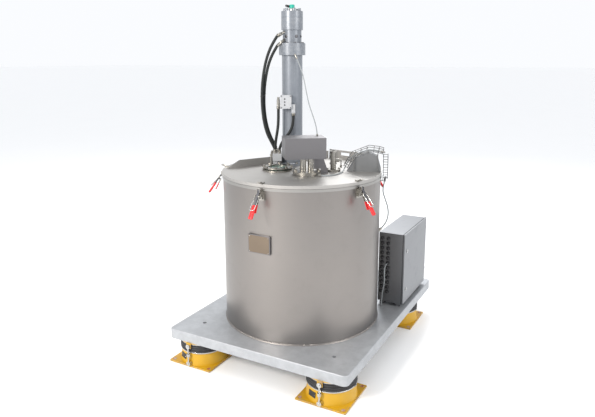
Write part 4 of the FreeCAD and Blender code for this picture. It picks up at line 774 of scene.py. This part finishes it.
# ---------------- isolators
def isolator_trim():
    """On each isolator: the rubber bellows, the bright clamping rims, bolts and a blank badge."""
    bellows, rims, bolts, badges = Form(), Form(), Form(), Form()
    feet = [box for box in islands("iso_plates") if box[0].z < 0.005]
    low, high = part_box("iso_sleeves")
    half_foot, foot_top, bolt_at = 0.185, 0.012, 0.16
    waves, steps_in_wave, swell_out, throat = 4, 8, 0.0073, 0.1685
    for foot_low, foot_high in feet:
        x = (foot_low.x + foot_high.x) / 2
        y = foot_high.y - half_foot
        profile = [(0.160, low.z + 0.0005)]
        span = high.z - low.z - 0.001
        for i in range(waves * steps_in_wave + 1):
            share = i / (waves * steps_in_wave)
            swell = abs(math.sin(math.pi * waves * share)) ** 0.6
            profile.append((throat + swell_out * swell, low.z + 0.0005 + span * share))
        profile.append((0.160, high.z - 0.0005))
        bellows.turned(profile, RUBBER, shift(x, y, 0), 96, ring=True)
        for z in (low.z - 0.0045, high.z - 0.0075):
            band = [(0.1725, z), (0.1752, z + 0.0012), (0.1752, z + 0.0078), (0.1725, z + 0.009),
                    (0.1700, z + 0.0045)]
            rims.turned(band, BRIGHT, shift(x, y, 0), 96, ring=True)
        for side in (-1, 1):
            lug = shift(x + side * 0.176, y, low.z)
            rims.brick((-0.006, -0.011, -0.004), (0.0035, 0.011, 0.004), BRIGHT, lug)
            add_nut(rims, lug @ FACING, 0.007, 0.014, BRIGHT, 0.2)
        for dx in (-bolt_at, bolt_at):
            for dy in (-bolt_at, bolt_at):
                place = shift(x + dx, y + dy, foot_top)
                seat = [(0.0130, 0), (0.0130, 0.0012), (0.0088, 0.0016), (0.0086, -0.004)]
                bolts.turned(seat, RUST_RED, place, 28)
        front = shift(x, y, 0.062) @ spin(math.radians(-24), "Z")
        front = front @ shift(0, -0.1712, 0) @ spin(math.radians(-7.7), "X")
        badges.brick((-0.032, -0.0022, -0.019), (0.032, 0.0035, 0.019), BLACK, front)
        for sx in (-1, 1):
            rivet = front @ shift(sx * 0.027, -0.0022, 0) @ FACING
            badges.turned([(0.0022, 0), (0.0020, 0.0008), (0.0008, 0.0014)], BRIGHT, rivet, 12)
    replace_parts(bellows.done("isolator_bellows", "root", "black_rubber", angle=60), "iso_sleeves")
    rims.done("isolator_rims", "root", "bright_steel", 0.0004)
    bolts.done("isolator_bolt_seats", "root", "isolator_yellow")
    badges.done("isolator_badges", "root", "gland_black", 0.0005)


# ---------------- clamps
def clamp_pieces():
    """Toggle clamps: lever with a red grip, wire loop with its adjusting nuts, release lever."""
    for number in range(1, 5):
        pivot = Vector(JOINTS[f"clamp_{number}_lever"]["pos_m"])
        azimuth = math.atan2(pivot.y - AXIS.y, pivot.x - AXIS.x)
        hang = shift(*pivot) @ spin(azimuth, "Z")
        hang = hang @ spin(CLAMP_OPEN, "Y")
        loop_pin = hang @ shift(0, 0, -0.040)
        release_pin = hang @ shift(-0.017, 0, -0.060)
        lever = Form()
        lever.turned([(0.0088, -0.009), (0.0088, 0.009), (0.0044, 0.009), (0.0044, -0.009)], DARK_STEEL,
                     hang @ ACROSS, 28, ring=True)
        plate = hang @ SIDEWAYS
        arm = [(0.006, -0.0088), (0.040, -0.0088), (0.058, -0.0075), (0.104, -0.0065), (0.184, -0.0060),
               (0.184, 0.0060), (0.104, 0.0065), (0.058, 0.0075), (0.040, 0.0088), (0.006, 0.0088)]
        lever.slab(arm, -0.0038, 0.0038, DARK_STEEL, plate)
        lever.turned([(0.0039, -0.0225), (0.0039, 0.0225)], PLATED, loop_pin @ ACROSS, 20)
        lever.brick((-0.0045, -0.0038, -0.0065), (0.017, 0.0038, 0.0065), DARK_STEEL, release_pin)
        lever.turned([(0.0024, -0.0088), (0.0024, 0.0088)], PLATED, release_pin @ ACROSS, 16)
        flat = hang @ Matrix.Diagonal((0.5, 1.0, 1.0, 1.0))
        grip = []
        for share, r in ((0, 0.0100), (0.015, 0.0132), (0.05, 0.0152), (0.12, 0.0159), (0.30, 0.0155),
                         (0.55, 0.0146), (0.80, 0.0148), (0.93, 0.0150), (0.975, 0.0140), (1.0, 0.0115)):
            grip.append((r, -0.205 + 0.100 * share))
        lever.turned(grip, RED, flat, 36, square=0.6)
        for k in range(3):
            z = -0.190 + 0.012 * k
            lever.turned([(0.0150, z), (0.01595, z + 0.0015), (0.01595, z + 0.0040), (0.0150, z + 0.0055)], RED,
                         flat, 36, ring=True, square=0.6)

        loop, half, length = Form(), 0.017, 0.110
        swing = loop_pin @ spin(math.radians(-9.5), "Y")
        path, square = [(0, -half, -0.007)], 0.55
        for k in range(13):
            turn = math.pi * k / 12
            y = -half * math.copysign(abs(math.cos(turn)) ** square, math.cos(turn))
            path.append((0, y, -length + 0.012 - 0.012 * abs(math.sin(turn)) ** square))
        path.append((0, half, -0.007))
        loop.wire(path, 0.0029, BRIGHT, swing)
        for side in (-1, 1):
            eye = swing @ shift(0, side * half, 0) @ ACROSS
            loop.turned([(0.0078, -0.0038), (0.0078, 0.0038), (0.0043, 0.0038), (0.0043, -0.0038)], PLATED, eye, 24,
                        ring=True)
            for z in (-0.020, -0.030):
                nut = swing @ shift(0, side * half, z)
                flats = [(0.0029, 0), (0.0050, 0.0004), (0.0050, 0.0056), (0.0029, 0.006)]
                loop.turned(flats, PLATED, nut, 6, ring=True)

        release = Form()
        tilt = release_pin @ spin(math.radians(8), "Y")
        cheek = [(0.0045, -0.0048), (-0.026, -0.0048), (-0.026, 0.0048), (0.0045, 0.0048)]
        for y in (-0.0075, 0.0045):
            side = tilt @ shift(0, y + 0.003, 0) @ FACING
            release.slab([(v, u) for u, v in cheek][::-1], 0.0002, 0.0028, PLATED, side)
        release.brick((-0.0048, -0.0073, -0.034), (0.0048, 0.0073, -0.0202), PLATED, tilt)
        tip = [(0.0080, -0.0305), (0.0100, -0.036), (0.0112, -0.046), (0.0110, -0.070), (0.0118, -0.084),
               (0.0108, -0.090), (0.0070, -0.0918)]
        release.turned(tip[::-1], RED, tilt @ Matrix.Diagonal((0.37, 1.0, 1.0, 1.0)), 32, square=0.6)
        for form, kind, slot, edge in ((lever, "lever", "grip_red", 0.0006), (loop, "loop", "bright_steel", 0),
                                       (release, "release", "grip_red", 0.0005)):
            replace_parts(form.done(f"clamp_{number}_{kind}_piece", f"{kind}_{number}", slot, edge),
                        f"clamp_{kind}_{number}")


# ---------------- column fittings
def union_piece(form, start, end, radius):
    """A hose union: the hexagon at its port, the collar and the crimped ferrule."""
    long = (end - start).length
    place = towards(start, end - start)
    crimp, rings = [(radius * 0.80, 0.0002)], 5
    for i in range(rings):
        z = long * (0.06 + 0.42 * i / rings)
        crimp += [(radius * 0.96, z), (radius * 0.84, z + long * 0.05)]
    crimp += [(radius * 0.72, long * 0.50), (radius * 0.72, long * 0.56)]
    form.turned(crimp, PLATED, place, 28)
    hexagon = [(r, long * 0.55 + z) for r, z in nut_profile(radius * 1.66, long * 0.40)]
    form.turned(hexagon, PLATED, place, 6)
    form.turned([(radius * 0.70, long * 0.94), (radius * 0.70, long * 1.0)], PLATED, place, 24)


def column_trim():
    """Hose unions and nipples, cable glands, the sensor on top and the column's screws."""
    form = Form()
    hose_ends = (                        # the hose, which end of it, its port, the union's radius
        ("hose_upper", 0, (-80, 62, 1018), 0.016), ("hose_lower", 0, (-66, 58, 967), 0.0135),
        ("hose_upper", -1, (-140, 50, 100), 0.016), ("hose_lower", -1, (-130, 15, 100), 0.016),
        ("hose_left", -1, (-134, 82, 100), 0.016), ("hose_right", -1, (-101, 94, 100), 0.016),
        ("hose_left", 0, (-106, 102, 500), 0.016), ("hose_right", 0, (10, 104, 420), 0.016),
    )
    for hose, end, port, radius in hose_ends:
        union_piece(form, route_of(hose)[end], column_point(*port), radius)
    stubs = (((-80, 62, 1018), (-58, 46, 1031), 0.011), ((-66, 58, 967), (-56, 42, 976), 0.010),
             ((-106, 102, 498), (-106, 102, 541), 0.0125))
    for start, end, radius in stubs:
        start, end = column_point(*start), column_point(*end)
        place = towards(start, end - start)
        long = (end - start).length
        form.turned([(radius, 0), (radius, long * 0.5), (radius * 0.8, long * 0.55), (radius * 0.8, long)], PLATED,
                    place, 24)
    for cable, end, beyond, long in (("sensor_cable", 0, 1, 0.040), ("sensor_cable", -1, -2, 0.016),
                                     ("lid_cable", 0, 1, 0.024), ("lid_cable", -1, -2, 0.034)):
        points = route_of(cable)
        place = towards(points[end], points[end] - points[beyond])
        sleeve = [(0.0052, -0.001), (0.0072, 0.001), (0.0072, long * 0.45), (0.0062, long * 0.5), (0.0062, long)]
        form.turned(sleeve, PLATED, place, 24)
        form.turned([(r, long * 0.42 + z) for r, z in nut_profile(0.0132, 0.006)], PLATED, place, 6)
    top = shift(COLUMN.x, COLUMN.y, CROWN)
    base = [(0.0258, 0.0), (0.0258, 0.018), (0.0240, 0.0215), (0.0205, 0.0218)]
    form.turned(base, BRIGHT, top, 40)
    form.turned([(0.0195, 0.0215), (0.0198, 0.045), (0.0180, 0.0492), (0.006, 0.0497)], GREEN, top, 40)
    turn = top @ spin(math.radians(28), "Z") @ shift(-0.020, 0, 0.036)
    plug = turn @ spin(math.radians(-90 + 14), "Y")
    form.turned([(0.0072, -0.004), (0.0098, 0.002), (0.0098, 0.016), (0.0080, 0.018), (0.0080, 0.028),
                 (0.0050, 0.0325)], BLACK, plug, 24)
    for k in range(12):
        rib = plug @ spin(math.tau * k / 12, "Z")
        form.brick((0.0092, -0.0008, 0.003), (0.01005, 0.0008, 0.015), BLACK, rib)
    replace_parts(form.done("column_trim", "lid", "fitting_steel", 0.0003), "column_fittings")

    marks = Form()
    neck, collar = LID_TOP + (COLLAR_TOP + 50) * MM, LID_TOP + COLLAR_TOP * MM
    for degrees, sides in ((-34, 24), (-100, 24), (8, 6)):
        out = outward(math.radians(degrees))
        place = towards(COLUMN + UP * neck + out * 0.0715, out)
        socket_screw(marks, place, DARK_STEEL, sides, (0.0125, 0.0112, 0.0062), (0, 0.0022, 0.003, 0.0012))
    for degrees in range(0, 360, 45):
        out = outward(math.radians(degrees))
        place = Matrix.Translation(COLUMN + UP * (collar - 0.0002) + out * 0.0885)
        socket_screw(marks, place, DARK_STEEL, 20, (0.0078, 0.0070, 0.0042), (0, 0.007, 0.008, 0.004))
    marks.done("column_screws", "lid", "fitting_steel")


def valve_trim():
    """Port plugs and screws on the valve block."""
    form = Form()
    facing = column_point(0, 1, 0) - column_point(0, 0, 0)
    for z in (482, 505, 528):
        place = towards(column_point(-56, 124.5, z), facing)
        socket_screw(form, place, BLACK, 24, (0.0058, 0.0052, 0.0030), (-0.002, 0.0036, 0.0040, 0.001))
    for u in (-82, -12):
        for z in (461, 550):
            place = towards(column_point(u, 127.9, z), facing)
            socket_screw(form, place, DARK_STEEL, 20, (0.0042, 0.0036, 0.0021), (0, 0.0034, 0.0040, 0.0014))
    form.done("valve_screws", "lid", "fitting_steel")


def hose_tie():
    """The tie that holds the two long hoses together halfway down."""
    form = Form()
    first, second = column_point(-236, 33, 545), column_point(-221, 9, 560)
    centre, side = (first + second) / 2, (second - first) / 2
    across = side.normalized()
    reach, r = side.length, 0.0122
    loop = []
    for k in range(28):
        turn = math.tau * k / 28
        shift = across * (reach if math.cos(turn) > 0 else -reach)
        depth = across.cross(UP).normalized()
        loop.append(centre + shift + (across * math.cos(turn) + depth * math.sin(turn)) * r)
    for dz in (-0.003, 0, 0.003):
        form.wire([point + UP * dz for point in loop], 0.0017, BLACK, closed=True, sides=8)
    form.done("hose_tie", "lid", "gland_black")


# ---------------- nameplate and cabinet
def name_tag():
    """The blank plate in its folded holder, held by four rivets."""
    low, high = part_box("nameplate")
    centre = (low + high) / 2
    turn = math.radians(-91.0)
    place = Matrix.Translation(AXIS + outward(turn) * CASE_R + UP * centre.z) @ spin(turn, "Z")
    half_w, half_h = 0.089, (high.z - low.z) / 2
    form = Form()
    wall = 0.003
    form.brick((0.0092, -half_w, -half_h), (0.0118, half_w, half_h), BOX_SHEET, place)
    for y0, y1, z0, z1 in ((-half_w, -half_w + wall, -half_h, half_h), (half_w - wall, half_w, -half_h, half_h),
                           (-half_w + wall, half_w - wall, -half_h, -half_h + wall),
                           (-half_w + wall, half_w - wall, half_h - wall, half_h)):
        form.brick((-0.004, y0, z0), (0.0095, y1, z1), BOX_SHEET, place)
    form.brick((0.0118, -half_w + 0.005, -half_h + 0.005), (0.0133, half_w - 0.005, half_h - 0.005), TAG, place)
    for y in (-1, 1):
        for z in (-1, 1):
            spot = place @ shift(0.0133, y * (half_w - 0.012), z * (half_h - 0.012))
            spot = spot @ SIDEWAYS
            form.turned([(0.0040, 0), (0.0036, 0.0012), (0.0020, 0.0024), (0.0004, 0.0028)], BRIGHT, spot, 20)
    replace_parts(form.done("blank_plate", "root", "blank_tag", 0.0005), "nameplate")


def rim(form, low, high, width, finish):
    """Four flat bars round an upright opening that faces X."""
    (x0, y0, z0), (x1, y1, z1) = low, high
    for a, b, c, d in ((y0, y1, z0, z0 + width), (y0, y1, z1 - width, z1),
                       (y0, y0 + width, z0 + width, z1 - width), (y1 - width, y1, z0 + width, z1 - width)):
        form.brick((x0, a, c), (x1, b, d), finish)


def cabinet_trim():
    """The rubber seal in the cabinet's mouth, and a black rubber strip round the door's edge that paints the shadow
    of the gap between door and case.
    """
    door_low, door_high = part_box("cabinet_door")
    case_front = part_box("cabinet_body")[0].y
    form = Form()
    rim(form, (door_low.x - 0.0017, case_front + 0.004, door_low.z + 0.004),
        (door_low.x - 0.0003, case_front + 0.594, door_high.z - 0.004), 0.012, RUBBER)
    form.done("door_seal", "root", "black_rubber")
    # A black strip wrapped round the door's edge: painted shadow of the gap between door and case.
    proud = Vector((0, 0.0006, 0.0006))
    outer_low = door_low - proud - Vector((0.0002, 0, 0))
    outer_high = Vector((door_low.x + 0.0050, door_high.y, door_high.z)) + proud
    form = Form()
    rim(form, outer_low, outer_high, 0.004, RUBBER)
    form.done("door_edge_shadow_strip", "door", "black_rubber")


# ---------------- cable tray on the lid
def lid_tray_piece():
    """A basket tray of bent wires that arches over the lid's edge, under a folded sheet hood."""
    form = Form()
    along, side = outward(TRAY_TURN), outward(TRAY_TURN + math.pi / 2)

    def at(r, y, z):
        return AXIS + along * (r * MM) + side * (y * MM) + UP * (LID_TOP + z * MM)

    route = [Vector(step) for step in ((350, 0, 26), (402, 0, 113), (512, 0, 157), (575, 0, 150), (612, 0, 140))]
    runs = [(b - a).normalized() for a, b in zip(route, route[1:])]
    normals = [Vector((-run.z, 0, run.x)) for run in runs]
    corner = [normals[0]] + [(a + b).normalized() for a, b in zip(normals, normals[1:])] + [normals[-1]]
    for y, rise in ((-50, 0), (0, 0), (50, 0), (-50, 33), (50, 33)):
        form.wire([at(p.x + n.x * rise, y, p.z + n.z * rise) for p, n in zip(route, corner)], 0.0025, WIRE)
    for run, share in ((0, 0.06), (0, 0.6), (1, 0.1), (1, 0.5), (1, 0.9), (2, 0.5), (3, 0.1), (3, 0.93)):
        p, n = route[run].lerp(route[run + 1], share), normals[run]
        rung = [(-52, 33), (-52, -2), (52, -2), (52, 33)]
        form.wire([at(p.x + n.x * up, y, p.z + n.z * up) for y, up in rung], 0.0022, WIRE)
    for p in (route[1], route[3]):
        for y in (-50, 50):
            form.wire([at(p.x, y, 0), at(p.x, y, p.z)], 0.003, WIRE)
    outline = [(345, 0), (410, 104), (510, 145), (572, 120), (600, 22), (600, 0)]
    sheet = Matrix.Translation(AXIS + UP * LID_TOP) @ spin(TRAY_TURN, "Z") @ FACING
    form.slab([(r * MM, z * MM) for r, z in outline], -0.036, 0.036, HOOD, sheet)
    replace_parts(form.done("lid_tray_piece", "lid", "bright_steel", 0.0008), "lid_tray")


lid_nuts()
gland_row()
lid_tray_piece()
weld_beads()
isolator_trim()
clamp_pieces()
column_trim()
valve_trim()
hose_tie()
name_tag()
cabinet_trim()


# ---------------- floor
def add_floor():
    """A wide white floor, which isn't part of the object."""
    white, reach = Finish("floor_white", 0.6), 200.0
    tone = white.noise(white.place(), 0.8)
    white.set("Base Color", white.blend(tone, (0.95, 0.955, 0.96), (0.97, 0.975, 0.98)))
    mesh = bpy.data.meshes.new("floor")
    mesh.from_pydata([(-reach, -reach, 0), (reach, -reach, 0), (reach, reach, 0), (-reach, reach, 0)], [],
                     [(0, 1, 2, 3)])
    floor = in_scene("floor", mesh)
    floor.location.z = -0.001
    dress(floor, white)


add_floor()
